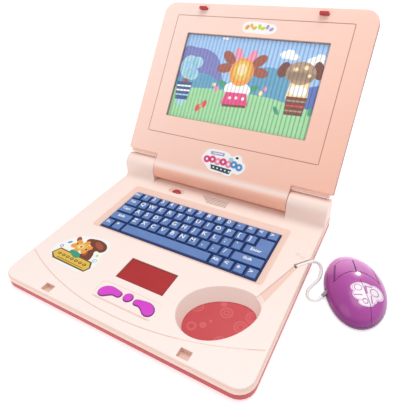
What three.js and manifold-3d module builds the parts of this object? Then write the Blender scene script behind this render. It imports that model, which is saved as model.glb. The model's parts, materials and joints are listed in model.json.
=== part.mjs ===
// Toy laptop computer with a corded toy mouse, in millimetres, +Z up.
// Working frame: x = 0 on the centre line, y = 0 at the front edge, z = 0 on the table.
import * as THREE from 'three';
import { mergeVertices } from 'three/addons/utils/BufferGeometryUtils.js';
import Module from 'manifold-3d';

const wasm = await Module();
wasm.setup();

// ---- driving dimensions -------------------------------------------------------------------

const WALL = 2; // wall of the large shells
const GAP = 0.3; // clearance between pieces that touch
const CUT = 1; // how far a cutting solid runs past a face

const BASE_WIDTH = 280;
const BASE_DEPTH = 240;
const DECK_HEIGHT = 16; // top of the palm rest
const SPLIT_HEIGHT = 8.8; // top of the red lower shell
const FOOT_HEIGHT = 1.5; // air under the lower shell
const CORNER_RADIUS = 16; // front corners of base, top corners of lid
const REAR_RADIUS = 5;
const SHOULDER = 2.4; // rounding of the deck's rim

const HINGE_RADIUS = 13.4; // knuckles and lid barrel
const BARREL_LENGTH = 185;
const PIN_RADIUS = 3;
const PIN_LENGTH = 24;
const LID_GAP = 0.9; // between deck and closed lid
const LID_THICKNESS = 12;
const LID_LEAN = 38; // degrees back from upright at rest
const LID_HEEL = 3.7; // air between knuckle and the lid's bottom edge
const LID_ROUND = 1.6; // rounding of the lid's rim
const LID_SPLIT = 6.1; // depth of the pink front cover

const SCREEN_WIDTH = 188.6;
const SCREEN_HEIGHT = 113.4;
const SCREEN_LOW = 71; // from hinge axis to the picture's lower edge
const SCREEN_SINK = 1.3; // picture below the lid's face
const SCREEN_RIBS = 36;
const RIB_DEPTH = 0.35;
const FRAME_WIDTH = 233.4; // engraved line round the screen
const FRAME_LOW = 46.1;
const FRAME_HEIGHT = 162.6;
const LINE_WIDTH = 0.8;
const LINE_DEPTH = 0.6;

const KEY_PITCH = 13.3;
const ROW_PITCH = 15.1;
const ROW_UNITS = 15; // key widths in one row
const KEYBOARD_FRONT = 108.4; // front of the bottom row
const KEY_GAP = 1.5; // at the foot of the caps
const KEY_TAPER = 1.05; // each side of a cap, foot to top
const KEY_SINK = 0.4; // cap tops below the deck
const KEY_HEIGHT = 3.1;
const KEY_WEB = 0.9; // strip that joins the caps of a row
const KEY_TRAVEL = 1.2;
const KEY_CLEARANCE = 0.6; // keyboard opening round the rows
const RIM_SIDE = 8.4; // slope round the keyboard
const RIM_BACK = 10.4;
const RIM_FRONT = 4.6;
const RIM_DROP = 2.6;

const PAD_WIDTH = 57;
const PAD_DEPTH = 29.2;
const PAD_CENTRE = new THREE.Vector2(0.7, 65);
const PAD_SINK = 1;

const BUTTON_X = 0.8; // centre button
const BUTTON_Y = 34.4;
const BUTTON_RADIUS = 4.9;
const BUTTON_PROUD = 0.5;
const BUTTON_TRAVEL = 1;
const CLUSTER_WIDTH = 71; // shallow recess round the buttons
const CLUSTER_FRONT = 21;
const CLUSTER_BACK = 42;
const CLUSTER_SINK = 0.5;

const SWITCH_X = -51.4;
const SWITCH_Y = 204.5;
const SWITCH_STROKE = 3.5; // each way from the middle
const SWITCH_LENGTH = 23;
const SWITCH_WIDTH = 9.4;

const BAY_X = 84.3; // mouse bay
const BAY_Y = 59.7;
const BAY_LONG = 39; // half length
const BAY_SHORT = 28.4; // half width
const BAY_ANGLE = 40.2;
const BAY_EGG = -0.13; // how much wider the low end is
const BAY_TAPER = 4.2; // the wall leans in this much all round
const BAY_LEAN_X = 2.2; // and the floor is moved towards the front right
const BAY_LEAN_Y = -3.6;

const CELL_RADIUS = 5.25; // AAA cells
const CELL_LENGTH = 44.5;
const CELL_COUNT = 3;
const BATTERY_X = -88;
const BATTERY_Y = 59;

const LATCH_X = 79;
const LATCH_Y = 8.6; // centre of the latch holes
const LATCH_WIDTH = 10.4;
const LATCH_REACH = 5; // hook length below the closed lid's face
const LATCH_THICK = 2.4;

const CORD_RADIUS = 1.8;
const CHANNEL_WIDTH = 4.6;

const MOUSE_OFF = 46.5; // from the base's right side to the mouse's middle
const MOUSE_Y = 148;
const MOUSE_ANGLE = 20.9;
const MOUSE_SHORT = 28.5; // half width
const MOUSE_LONG = 43.2; // half length
const MOUSE_EGG = 0.09;
const MOUSE_HEIGHT = 22.8;
const MOUSE_LIFT = 0.8; // glide pads
const MOUSE_SPLIT = 5.2;
const MOUSE_WALL = 1.8;
const MOUSE_TRAVEL = 0.8;

const SCREW_RADIUS = 1.5;
const SCREW_HEAD = 2.8;
const SCREW_HOLE = SCREW_RADIUS + GAP;
const BOSS_RADIUS = 3.8;

// ---- derived places -----------------------------------------------------------------------

const HALF = BASE_WIDTH / 2;
const MOUSE_X = HALF + MOUSE_OFF;
const HINGE_Y = BASE_DEPTH - HINGE_RADIUS;
const HINGE_Z = DECK_HEIGHT + LID_GAP + HINGE_RADIUS;
const LID_LENGTH = HINGE_Y - 0.6;
const FLOOR = FOOT_HEIGHT + WALL; // inside face of the lower shell
const CEILING = DECK_HEIGHT - WALL; // inside face of the deck
const KEY_TOP = DECK_HEIGHT - KEY_SINK;
const WEB_TOP = KEY_TOP - KEY_HEIGHT;
const WEB_LOW = WEB_TOP - KEY_WEB;
const MEMBRANE_TOP = WEB_LOW - KEY_TRAVEL - GAP;
const KEYBOARD_LEFT = -ROW_UNITS * KEY_PITCH / 2;
const KEYBOARD_BACK = KEYBOARD_FRONT + 5 * ROW_PITCH;
const KNUCKLE_IN = BARREL_LENGTH / 2 + 0.6;
const KNUCKLE_OUT = HALF - 1;
const LID_BOTTOM = HINGE_RADIUS + LID_HEEL;
const LID_BACK = HINGE_RADIUS - LID_THICKNESS; // back face of the lid, in front of the axis
const LID_SEAM = HINGE_RADIUS - LID_SPLIT;
const radians = THREE.MathUtils.degToRad;

// ---- materials ----------------------------------------------------------------------------

const plastic = (color, roughness = 0.4) => new THREE.MeshStandardMaterial({ color, roughness, metalness: 0 });
const metal = (color) => new THREE.MeshStandardMaterial({ color, roughness: 0.35, metalness: 1 });
const finish = {
  shell: () => plastic(0xf6ddd2),
  red: () => plastic(0xc8545c),
  pad: () => plastic(0xb13335),
  key: () => plastic(0x5d79aa),
  magenta: () => plastic(0xd74dca),
  mouse: () => plastic(0xb75caa, 0.25),
  dark: () => plastic(0x2c2f36, 0.6),
  board: () => plastic(0x2f7a4a, 0.5),
  rubber: () => plastic(0x44464b, 0.85),
  clear: () => plastic(0xdfe9f2, 0.15),
  picture: () => plastic(0xa2d2a2, 0.5),
  grey: () => plastic(0x8f9296, 0.5),
  white: () => plastic(0xf2f2f0, 0.5),
  steel: () => metal(0xc9ccd0),
};

// ---- solids -------------------------------------------------------------------------------

function toSolid(geometry) {
  const bare = geometry.clone();
  bare.deleteAttribute('normal');
  bare.deleteAttribute('uv');
  const merged = mergeVertices(bare, 1e-4);
  const vertProperties = new Float32Array(merged.attributes.position.array);
  const triVerts = new Uint32Array(merged.index.array);
  return new wasm.Manifold(new wasm.Mesh({ numProp: 3, vertProperties, triVerts }));
}

function toGeometry(solid) {
  const { vertProperties, triVerts } = solid.getMesh();
  const geometry = new THREE.BufferGeometry();
  geometry.setAttribute('position', new THREE.BufferAttribute(vertProperties, 3));
  geometry.setIndex(new THREE.BufferAttribute(triVerts, 1));
  geometry.computeVertexNormals();
  return geometry;
}

const point = (x, y) => new THREE.Vector2(x, y);

// Outline of a rectangle with its own radius at each corner, anticlockwise from the low left.
function rectangle({ x0, x1, y0, y1, radii = [0, 0, 0, 0], steps = 6 }, inset = 0) {
  const corners = [[x0, y0, 180], [x1, y0, 270], [x1, y1, 0], [x0, y1, 90]];
  return corners.flatMap(([x, y, from], index) => {
    if (!radii[index]) return [point(x === x0 ? x0 + inset : x1 - inset, y === y0 ? y0 + inset : y1 - inset)];
    const radius = Math.max(radii[index] - inset, 0.05);
    const inX = x === x0 ? x0 + inset + radius : x1 - inset - radius;
    const inY = y === y0 ? y0 + inset + radius : y1 - inset - radius;
    const arc = [];
    for (let step = 0; step <= steps; step += 1) {
      const angle = radians(from + (90 * step) / steps);
      arc.push(point(inX + radius * Math.cos(angle), inY + radius * Math.sin(angle)));
    }
    return arc;
  });
}

// Egg outline: an ellipse that widens along its own x axis, turned and moved to its place.
function egg({ x, y, long, short, angle, taper, steps = 48 }, inset = 0) {
  const turn = radians(angle);
  const points = [];
  for (let step = 0; step < steps; step += 1) {
    const t = (2 * Math.PI * step) / steps;
    const a = (long - inset) * Math.cos(t);
    const b = (short - inset) * Math.sin(t) * (1 + taper * Math.cos(t));
    points.push(point(x + a * Math.cos(turn) - b * Math.sin(turn), y + a * Math.sin(turn) + b * Math.cos(turn)));
  }
  return points;
}

function circle(x, y, radius, steps = 16) {
  return egg({ x, y, long: radius, short: radius, angle: 0, taper: 0, steps });
}

// Closed solid through outlines of equal point count at rising heights.
function stack(sections) {
  const count = sections[0].points.length;
  const positions = sections.flatMap(({ z, points }) => points.flatMap(({ x, y }) => [x, y, z]));
  const index = [];
  for (let level = 0; level < sections.length - 1; level += 1) {
    for (let i = 0; i < count; i += 1) {
      const a = level * count + i;
      const b = level * count + ((i + 1) % count);
      index.push(a, b, b + count, a, b + count, a + count);
    }
  }
  const top = (sections.length - 1) * count;
  const cap = THREE.ShapeUtils.triangulateShape;
  cap(sections[0].points, []).forEach(([a, b, c]) => index.push(c, b, a));
  cap(sections.at(-1).points, []).forEach(([a, b, c]) => index.push(top + a, top + b, top + c));
  const geometry = new THREE.BufferGeometry();
  geometry.setAttribute('position', new THREE.Float32BufferAttribute(positions, 3));
  geometry.setIndex(index);
  return toSolid(geometry);
}

const prism = (points, z0, z1) => stack([{ z: z0, points }, { z: z1, points }]);

function box(x0, x1, y0, y1, z0, z1) {
  const geometry = new THREE.BoxGeometry(x1 - x0, y1 - y0, z1 - z0);
  return toSolid(geometry.translate((x0 + x1) / 2, (y0 + y1) / 2, (z0 + z1) / 2));
}

const post = (x, y, radius, z0, z1, steps = 12) => prism(circle(x, y, radius, steps), z0, z1);

// Rod along X with its centre at (y, z).
function rod(radius, x0, x1, y, z, steps = 24) {
  const geometry = new THREE.CylinderGeometry(radius, radius, x1 - x0, steps);
  return toSolid(geometry.rotateZ(Math.PI / 2).translate((x0 + x1) / 2, y, z));
}

// Rod or cone between two points.
function spar(from, to, radiusFrom, radiusTo, steps = 16) {
  const along = to.clone().sub(from);
  const geometry = new THREE.CylinderGeometry(radiusTo, radiusFrom, along.length(), steps);
  const turn = new THREE.Quaternion().setFromUnitVectors(new THREE.Vector3(0, 1, 0), along.clone().normalize());
  geometry.applyQuaternion(turn);
  return toSolid(geometry.translate(...from.clone().add(to).multiplyScalar(0.5).toArray()));
}

// Outline whose rim is rounded at the top: straight sides, then a quarter round.
function roundedTop(outline, z0, z1, radius, steps = 3) {
  const sections = [{ z: z0, points: outline(0) }];
  for (let step = 0; step <= steps; step += 1) {
    const angle = (Math.PI / 2) * (step / steps);
    const inset = radius * (1 - Math.cos(angle));
    sections.push({ z: z1 - radius + radius * Math.sin(angle), points: outline(inset) });
  }
  return stack(sections);
}

// ---- assembly -----------------------------------------------------------------------------

const laptop = new THREE.Group();
const cordNodes = ['mouse_cord', 'mouse_strain_relief'];

function place(parent, name, solid, material) {
  const mesh = new THREE.Mesh(toGeometry(solid), material);
  mesh.name = name;
  parent.add(mesh);
}

// ---- base: outlines and shared places -----------------------------------------------------

const baseRadii = [CORNER_RADIUS, CORNER_RADIUS, REAR_RADIUS, REAR_RADIUS];
const baseOutline = (inset) => rectangle({ x0: -HALF, x1: HALF, y0: 0, y1: BASE_DEPTH, radii: baseRadii }, inset);
const bayEgg = { x: BAY_X, y: BAY_Y, long: BAY_LONG, short: BAY_SHORT, angle: BAY_ANGLE, taper: BAY_EGG };
const bayOutline = (inset) => egg(bayEgg, inset);
const bayFloorOutline = (inset) => egg({ ...bayEgg, x: BAY_X + BAY_LEAN_X, y: BAY_Y + BAY_LEAN_Y }, inset + BAY_TAPER);
const screwPlaces = [[-1, 10], [1, 10], [-1, BASE_DEPTH - 34], [1, BASE_DEPTH - 34]];
const baseScrews = screwPlaces.map(([side, y]) => [side * (HALF - 12), y]);
const feet = [[-1, 22], [1, 22], [-1, BASE_DEPTH - 18], [1, BASE_DEPTH - 18]];
const footPlaces = feet.map(([side, y]) => [side * (HALF - 20), y]);
const FOOT_RADIUS = 6;
const FOOT_PEG = 1.6;

const DOOR_WIDTH = CELL_LENGTH + 14;
const DOOR_DEPTH = CELL_COUNT * (2 * CELL_RADIUS + 0.8) + 6;
const DOOR_THICK = 1.5;
const doorOutline = (inset) => rectangle({
  x0: BATTERY_X - DOOR_WIDTH / 2,
  x1: BATTERY_X + DOOR_WIDTH / 2,
  y0: BATTERY_Y - DOOR_DEPTH / 2,
  y1: BATTERY_Y + DOOR_DEPTH / 2,
  radii: [2, 2, 2, 2],
  steps: 2,
}, inset);
const DOOR_SCREW_X = BATTERY_X - DOOR_WIDTH / 2 - 6;

function batteryBox() {
  const outer = prism(doorOutline(-1.5), FLOOR - CUT, CEILING - GAP);
  return outer;
}

function baseBottomShell() {
  const sections = [
    { z: FOOT_HEIGHT, points: baseOutline(1.4) },
    { z: FOOT_HEIGHT + 0.5, points: baseOutline(0.5) },
    { z: FOOT_HEIGHT + 1.4, points: baseOutline(0) },
    { z: SPLIT_HEIGHT, points: baseOutline(0) },
  ];
  let shell = stack(sections).subtract(prism(baseOutline(WALL), FLOOR, SPLIT_HEIGHT + CUT));
  shell = shell.add(batteryBox());
  shell = shell.subtract(prism(doorOutline(0), FOOT_HEIGHT - CUT, CEILING + CUT));
  shell = shell.add(post(DOOR_SCREW_X, BATTERY_Y, BOSS_RADIUS, FLOOR - CUT, SPLIT_HEIGHT));
  shell = shell.subtract(post(DOOR_SCREW_X, BATTERY_Y, SCREW_HOLE, FOOT_HEIGHT - CUT, SPLIT_HEIGHT + CUT));
  const tongue = box(DOOR_SCREW_X - 4.3, BATTERY_X, BATTERY_Y - 4.3, BATTERY_Y + 4.3, 0, FOOT_HEIGHT + DOOR_THICK + GAP);
  shell = shell.subtract(tongue.subtract(prism(doorOutline(0), -CUT, SPLIT_HEIGHT)));
  baseScrews.forEach(([x, y]) => {
    shell = shell.add(post(x, y, BOSS_RADIUS, FLOOR - CUT, SPLIT_HEIGHT));
    shell = shell.subtract(post(x, y, SCREW_HOLE, FOOT_HEIGHT - CUT, SPLIT_HEIGHT + CUT));
    shell = shell.subtract(post(x, y, SCREW_HEAD + GAP, FOOT_HEIGHT - CUT, FLOOR));
  });
  footPlaces.forEach(([x, y]) => {
    shell = shell.subtract(post(x, y, FOOT_PEG + GAP, FOOT_HEIGHT - CUT, FLOOR + CUT, 12));
  });
  return shell;
}

// ---- base: top shell ----------------------------------------------------------------------

const wellInner = {
  x0: KEYBOARD_LEFT - KEY_CLEARANCE,
  x1: -KEYBOARD_LEFT + KEY_CLEARANCE,
  y0: KEYBOARD_FRONT - KEY_CLEARANCE,
  y1: KEYBOARD_BACK + KEY_CLEARANCE,
};
const wellOuter = {
  x0: wellInner.x0 - RIM_SIDE,
  x1: wellInner.x1 + RIM_SIDE,
  y0: wellInner.y0 - RIM_FRONT,
  y1: wellInner.y1 + RIM_BACK,
};
const wellRadii = { radii: [4, 4, 4, 4], steps: 3 };
const WELL_UNDER = DECK_HEIGHT - RIM_DROP - WALL; // underside of the sunk rim

function keyboardWell(shell) {
  const inner = rectangle({ ...wellInner, ...wellRadii, radii: [1, 1, 1, 1] });
  const outer = rectangle({ ...wellOuter, ...wellRadii });
  const collar = prism(rectangle({ ...wellOuter, ...wellRadii }, 1), WELL_UNDER, CEILING + CUT / 2);
  const slope = stack([{ z: DECK_HEIGHT - RIM_DROP, points: inner }, { z: DECK_HEIGHT, points: outer }]);
  const mouth = prism(outer, DECK_HEIGHT - 0.001, DECK_HEIGHT + CUT);
  const hole = prism(inner, WELL_UNDER - CUT, DECK_HEIGHT);
  return shell.add(collar).subtract(slope).subtract(mouth).subtract(hole);
}

function knuckle(side) {
  const [x0, x1] = side < 0 ? [-KNUCKLE_OUT, -KNUCKLE_IN] : [KNUCKLE_IN, KNUCKLE_OUT];
  const foot = 4.5; // concave fillet at the front
  const front = HINGE_Y - HINGE_RADIUS;
  const round = rod(HINGE_RADIUS, x0, x1, HINGE_Y, HINGE_Z, 44);
  const body = box(x0, x1, front, BASE_DEPTH, CEILING, HINGE_Z);
  const toe = box(x0, x1, front - foot, front + CUT, CEILING, DECK_HEIGHT + foot);
  const scoop = rod(foot, x0 - CUT, x1 + CUT, front - foot, DECK_HEIGHT + foot, 16);
  const inside = HINGE_RADIUS - WALL;
  const hollow = rod(inside, x0 + WALL, x1 - WALL, HINGE_Y, HINGE_Z, 16);
  const well = box(x0 + WALL, x1 - WALL, HINGE_Y - inside, HINGE_Y + inside, SPLIT_HEIGHT - CUT, HINGE_Z);
  return { outer: round.add(body).add(toe.subtract(scoop)), inner: hollow.add(well) };
}

function pinBoss(side) {
  const x0 = side < 0 ? -KNUCKLE_IN - PIN_LENGTH / 2 - 2 : KNUCKLE_IN;
  return rod(PIN_RADIUS + GAP + WALL, x0, x0 + PIN_LENGTH / 2 + 2, HINGE_Y, HINGE_Z, 12);
}

const pinBore = (x0, x1) => rod(PIN_RADIUS + GAP, x0, x1, HINGE_Y, HINGE_Z, 16);

// The wing-shaped buttons: outline of the left one, mirrored about the centre button.
const wingPoints = [[-7.7, 35.4], [-8.8, 30.3], [-15.5, 30.2], [-20, 27.6], [-25, 24.4], [-30.6, 26], [-32, 31],
  [-29, 35.8], [-23.5, 38.4], [-16.5, 38]];

function wingOutline(side, inset = 0) {
  const mirrored = wingPoints.map(([x, y]) => point(side < 0 ? x : -x, y));
  const ordered = side < 0 ? mirrored.reverse() : mirrored;
  const curve = new THREE.CatmullRomCurve3(ordered.map(({ x, y }) => new THREE.Vector3(x, y, 0)), true, 'centripetal');
  const points = curve.getSpacedPoints(26).slice(0, 26).map(({ x, y }) => point(x, y));
  const turned = THREE.ShapeUtils.isClockWise(points) ? points.reverse() : points;
  return turned.map((here, i) => {
    const before = turned.at(i - 1);
    const after = turned[(i + 1) % turned.length];
    const along = after.clone().sub(before).normalize();
    return point(here.x + BUTTON_X - along.y * inset, here.y + along.x * inset);
  });
}

const clusterBox = {
  x0: BUTTON_X - CLUSTER_WIDTH / 2,
  x1: BUTTON_X + CLUSTER_WIDTH / 2,
  y0: CLUSTER_FRONT,
  y1: CLUSTER_BACK,
  radii: [5, 5, 5, 5],
  steps: 3,
};

function controlCuts(shell) {
  const recess = prism(rectangle(clusterBox), DECK_HEIGHT - CLUSTER_SINK, DECK_HEIGHT + CUT);
  let cut = shell.subtract(recess);
  [-1, 1].forEach((side) => {
    cut = cut.subtract(prism(wingOutline(side, -GAP - 0.1), CEILING - CUT, DECK_HEIGHT + CUT));
  });
  cut = cut.subtract(post(BUTTON_X, BUTTON_Y, BUTTON_RADIUS + GAP + 0.1, CEILING - CUT, DECK_HEIGHT + CUT, 16));
  const half = point(PAD_WIDTH / 2, PAD_DEPTH / 2);
  const window = box(PAD_CENTRE.x - half.x, PAD_CENTRE.x + half.x, PAD_CENTRE.y - half.y, PAD_CENTRE.y + half.y,
    CEILING - CUT, DECK_HEIGHT + CUT);
  return cut.subtract(window);
}

const SWITCH_SINK = 1.1;
const SLOT_LENGTH = 2 * SWITCH_STROKE + 6.6;

function switchCuts(shell) {
  const oval = (length, width) => rectangle({
    x0: SWITCH_X - length / 2,
    x1: SWITCH_X + length / 2,
    y0: SWITCH_Y - width / 2,
    y1: SWITCH_Y + width / 2,
    radii: Array(4).fill(width / 2 - 0.02),
    steps: 4,
  });
  const dish = prism(oval(SWITCH_LENGTH, SWITCH_WIDTH), DECK_HEIGHT - SWITCH_SINK, DECK_HEIGHT + CUT);
  const slot = prism(oval(SLOT_LENGTH, 3.6), CEILING - CUT, DECK_HEIGHT + CUT);
  return shell.subtract(dish).subtract(slot);
}

const SLOT_ROWS = 5;
const SLOT_PITCH = 2.7;
const SPEAKER_X = 4;
const SPEAKER_Y = 205.4;

function speakerSlots(shell) {
  let cut = shell;
  for (let row = 0; row < SLOT_ROWS; row += 1) {
    const y = SPEAKER_Y + (row - (SLOT_ROWS - 1) / 2) * SLOT_PITCH;
    const x0 = SPEAKER_X - 9 - 2.6 * row;
    cut = cut.subtract(box(x0, SPEAKER_X + 18, y - 0.55, y + 0.55, CEILING - CUT, DECK_HEIGHT + CUT));
  }
  return cut;
}

const SEAM_LOW = 11.1; // decorative line across the palm rest
const SEAM_RADIUS = 318;

function seamLine(shell) {
  const centreY = SEAM_LOW + SEAM_RADIUS;
  const reach = Math.asin((HALF - 4) / SEAM_RADIUS);
  const steps = 24;
  const arc = (radius, i) => {
    const angle = -reach + (2 * reach * i) / steps;
    return point(radius * Math.sin(angle), centreY - radius * Math.cos(angle));
  };
  const outer = Array.from({ length: steps + 1 }, (_, i) => arc(SEAM_RADIUS + LINE_WIDTH / 2, i));
  const inner = Array.from({ length: steps + 1 }, (_, i) => arc(SEAM_RADIUS - LINE_WIDTH / 2, steps - i));
  return shell.subtract(prism([...outer, ...inner], DECK_HEIGHT - LINE_DEPTH, DECK_HEIGHT + CUT));
}

const LATCH_HOLE = point(LATCH_WIDTH + 0.8, 8.6);
const LATCH_POCKET = 5.4; // depth of the pocket that takes a hook
const POCKET_WALL = 1.2;

function latchPockets(shell) {
  let cut = shell;
  [-1, 1].forEach((side) => {
    const x = side * LATCH_X;
    const pocket = (grow, z0, z1) => box(x - LATCH_HOLE.x / 2 - grow, x + LATCH_HOLE.x / 2 + grow,
      LATCH_Y - LATCH_HOLE.y / 2 - grow, LATCH_Y + LATCH_HOLE.y / 2 + grow, z0, z1);
    const low = DECK_HEIGHT - LATCH_POCKET;
    cut = cut.add(pocket(POCKET_WALL, low - POCKET_WALL, CEILING + CUT / 2));
    cut = cut.subtract(pocket(0, low, DECK_HEIGHT + CUT));
  });
  return cut;
}

// ---- cord route and its channel -----------------------------------------------------------

// x is measured from the base's right side and rise from the table to the deck, then x from the mouse's middle.
const CORD_LOW = CORD_RADIUS + 0.1;
const CORD_HIGH = DECK_HEIGHT - 1.7;
const offDeck = [
  [-10.6, 144.6, 0.93], [-8.6, 146.9, 0.98], [-5.8, 150, 0.99], [-2.6, 153.6, 1], [1, 157.8, 0.98],
  [5, 161.6, 0.8], [8.8, 162.4, 0.51], [11.2, 159.4, 0.23], [11.8, 154.2, 0.05], [11.2, 148, 0], [9.4, 141.6, 0],
].map(([x, y, rise]) => new THREE.Vector3(HALF + x, y, CORD_LOW + rise * (CORD_HIGH - CORD_LOW)));
const toMouseSide = [
  [-39.1, 135.4, CORD_LOW], [-39.9, 129, CORD_LOW], [-37.9, 122.8, CORD_LOW], [-33.1, 120, 2.1], [-28.7, 122.4, 2.9],
  [-26.1, 127, 4.1],
].map(([x, y, z]) => new THREE.Vector3(MOUSE_X + x, y, z));
const cordRoute = [...offDeck, ...toMouseSide];
const channelStart = new THREE.Vector3(HALF - 10.8, 144.3, 0);
const channelEnd = new THREE.Vector3(HALF + 4, 161.5, 0);

function channelOutline(width) {
  const along = channelEnd.clone().sub(channelStart).normalize();
  const across = new THREE.Vector3(-along.y, along.x, 0).multiplyScalar(width / 2);
  const a = channelStart.clone().addScaledVector(along, -width / 2);
  const corners = [a.clone().sub(across), channelEnd.clone().sub(across), channelEnd.clone().add(across), a.add(across)];
  return corners.map(({ x, y }) => point(x, y));
}

function cordChannel(shell) {
  const floor = DECK_HEIGHT - 2 * CORD_RADIUS - 0.4;
  const bed = prism(channelOutline(CHANNEL_WIDTH + 2 * WALL), floor - WALL, CEILING + CUT / 2);
  const trimmed = bed.intersect(prism(baseOutline(WALL / 2), 0, DECK_HEIGHT));
  const groove = prism(channelOutline(CHANNEL_WIDTH), floor, DECK_HEIGHT + CUT);
  let hole = post(channelStart.x, channelStart.y, CHANNEL_WIDTH / 2, floor - WALL - CUT, DECK_HEIGHT);
  hole = hole.add(post(channelStart.x + 1.6, channelStart.y + 2, CHANNEL_WIDTH / 2, floor - WALL - CUT, DECK_HEIGHT));
  return shell.add(trimmed).subtract(groove).subtract(hole);
}

// Shallow dip that leads the cord from the parked mouse to its hole.
function cordDip(shell) {
  const atBay = [BAY_X + 22.7, BAY_Y + 24.3];
  const besideBay = [BAY_X + 31.2, BAY_Y + 19.8];
  const atHole = [[channelStart.x + 2, channelStart.y - 2.3], [channelStart.x - 1.6, channelStart.y - 0.7]];
  const corners = [atBay, besideBay, ...atHole].map(([x, y]) => point(x, y));
  return shell.subtract(prism(corners, DECK_HEIGHT - 1.1, DECK_HEIGHT + CUT));
}

function mouseBay(shell) {
  const skirtLow = FLOOR + GAP;
  const wall = stack([
    { z: skirtLow, points: bayFloorOutline(-1.8) },
    { z: DECK_HEIGHT - WALL / 2, points: bayOutline(-1.8) },
  ]);
  const hollow = stack([
    { z: skirtLow - CUT, points: bayFloorOutline(0) },
    { z: skirtLow, points: bayFloorOutline(0) },
    { z: DECK_HEIGHT - 0.8, points: bayOutline(0) },
    { z: DECK_HEIGHT, points: bayOutline(-0.8) },
    { z: DECK_HEIGHT + CUT, points: bayOutline(-0.8) },
  ]);
  return shell.add(wall).subtract(hollow);
}

function baseTopShell() {
  const low = SPLIT_HEIGHT + GAP;
  let shell = roundedTop(baseOutline, low, DECK_HEIGHT, SHOULDER);
  shell = shell.subtract(prism(baseOutline(WALL), low - CUT, CEILING));
  const knuckles = [-1, 1].map(knuckle);
  knuckles.forEach(({ outer }) => {
    shell = shell.add(outer);
  });
  knuckles.forEach(({ inner }) => {
    shell = shell.subtract(inner);
  });
  [-1, 1].forEach((side) => {
    shell = shell.add(pinBoss(side));
  });
  shell = shell.subtract(pinBore(-KNUCKLE_IN - PIN_LENGTH / 2, -KNUCKLE_IN + CUT));
  shell = shell.subtract(pinBore(KNUCKLE_IN - CUT, KNUCKLE_IN + PIN_LENGTH / 2));
  shell = cordDip(keyboardWell(shell));
  shell = mouseBay(cordChannel(shell));
  shell = speakerSlots(switchCuts(controlCuts(shell)));
  shell = latchPockets(seamLine(shell));
  baseScrews.forEach(([x, y]) => {
    shell = shell.add(post(x, y, BOSS_RADIUS - 0.4, low, CEILING + CUT / 2));
    shell = shell.subtract(post(x, y, SCREW_HOLE, low - CUT, CEILING - 1.4));
  });
  return shell;
}

// ---- base: the rest -----------------------------------------------------------------------

function screw(x, y, headLow, tip) {
  const head = post(x, y, SCREW_HEAD, headLow, headLow + 1.4, 16);
  return head.add(post(x, y, SCREW_RADIUS, headLow + 0.7, tip, 10));
}

function foot(x, y) {
  const pad = stack([
    { z: 0, points: circle(x, y, FOOT_RADIUS - 0.5) },
    { z: 0.5, points: circle(x, y, FOOT_RADIUS) },
    { z: FOOT_HEIGHT - GAP, points: circle(x, y, FOOT_RADIUS) },
  ]);
  return pad.add(post(x, y, FOOT_PEG, 0.6, FLOOR + 0.8, 12));
}

function batteryDoor() {
  const panel = prism(doorOutline(GAP), FOOT_HEIGHT, FOOT_HEIGHT + DOOR_THICK);
  const tongue = box(DOOR_SCREW_X - 4, BATTERY_X - DOOR_WIDTH / 2 + 3, BATTERY_Y - 4, BATTERY_Y + 4, FOOT_HEIGHT,
    FOOT_HEIGHT + DOOR_THICK);
  const hole = post(DOOR_SCREW_X, BATTERY_Y, SCREW_HOLE, 0, 2 * FLOOR);
  return panel.add(tongue).subtract(hole);
}

function batteryCell(index) {
  const y = BATTERY_Y + (index - (CELL_COUNT - 1) / 2) * (2 * CELL_RADIUS + 0.8);
  const z = FOOT_HEIGHT + DOOR_THICK + GAP + CELL_RADIUS;
  const x0 = BATTERY_X - CELL_LENGTH / 2;
  const sign = index % 2 ? -1 : 1; // neighbours point opposite ways
  const can = rod(CELL_RADIUS, x0 + 0.8, x0 + CELL_LENGTH - 0.8, y, z, 16);
  const tip = BATTERY_X + sign * (CELL_LENGTH / 2);
  return can.add(rod(1.9, Math.min(tip, tip - sign * 3), Math.max(tip, tip - sign * 3), y, z, 12));
}

function batteryContact(side) {
  const x = BATTERY_X + side * (CELL_LENGTH / 2 + 1.8);
  const reach = DOOR_DEPTH / 2 - 3.5;
  return box(x - 0.35, x + 0.35, BATTERY_Y - reach, BATTERY_Y + reach, FLOOR + 1, CEILING - 2);
}

function touchpadPanel() {
  const half = point(PAD_WIDTH / 2, PAD_DEPTH / 2);
  const plate = (grow, z0, z1) => box(PAD_CENTRE.x - half.x - grow, PAD_CENTRE.x + half.x + grow,
    PAD_CENTRE.y - half.y - grow, PAD_CENTRE.y + half.y + grow, z0, z1);
  return plate(2.5, CEILING - GAP - 1.2, CEILING - GAP).add(plate(-GAP, CEILING - CUT, DECK_HEIGHT - PAD_SINK));
}

// A press button: a cap in its hole and a flange that stops it under the deck.
function pressButton(outline) {
  const top = DECK_HEIGHT + BUTTON_PROUD;
  const flange = prism(outline(-1), CEILING - GAP - 0.9, CEILING - GAP);
  const cap = stack([
    { z: CEILING - CUT, points: outline(0) },
    { z: top - 0.7, points: outline(0) },
    { z: top - 0.2, points: outline(0.3) },
    { z: top, points: outline(0.9) },
  ]);
  return flange.add(cap);
}

const BUTTON_LOW = CEILING - GAP - 0.9; // underside of the button flanges

function buttonBoard() {
  const top = BUTTON_LOW - BUTTON_TRAVEL - GAP;
  const outline = rectangle(clusterBox, 0.5);
  return prism(outline, top - 1.4, top);
}

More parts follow.
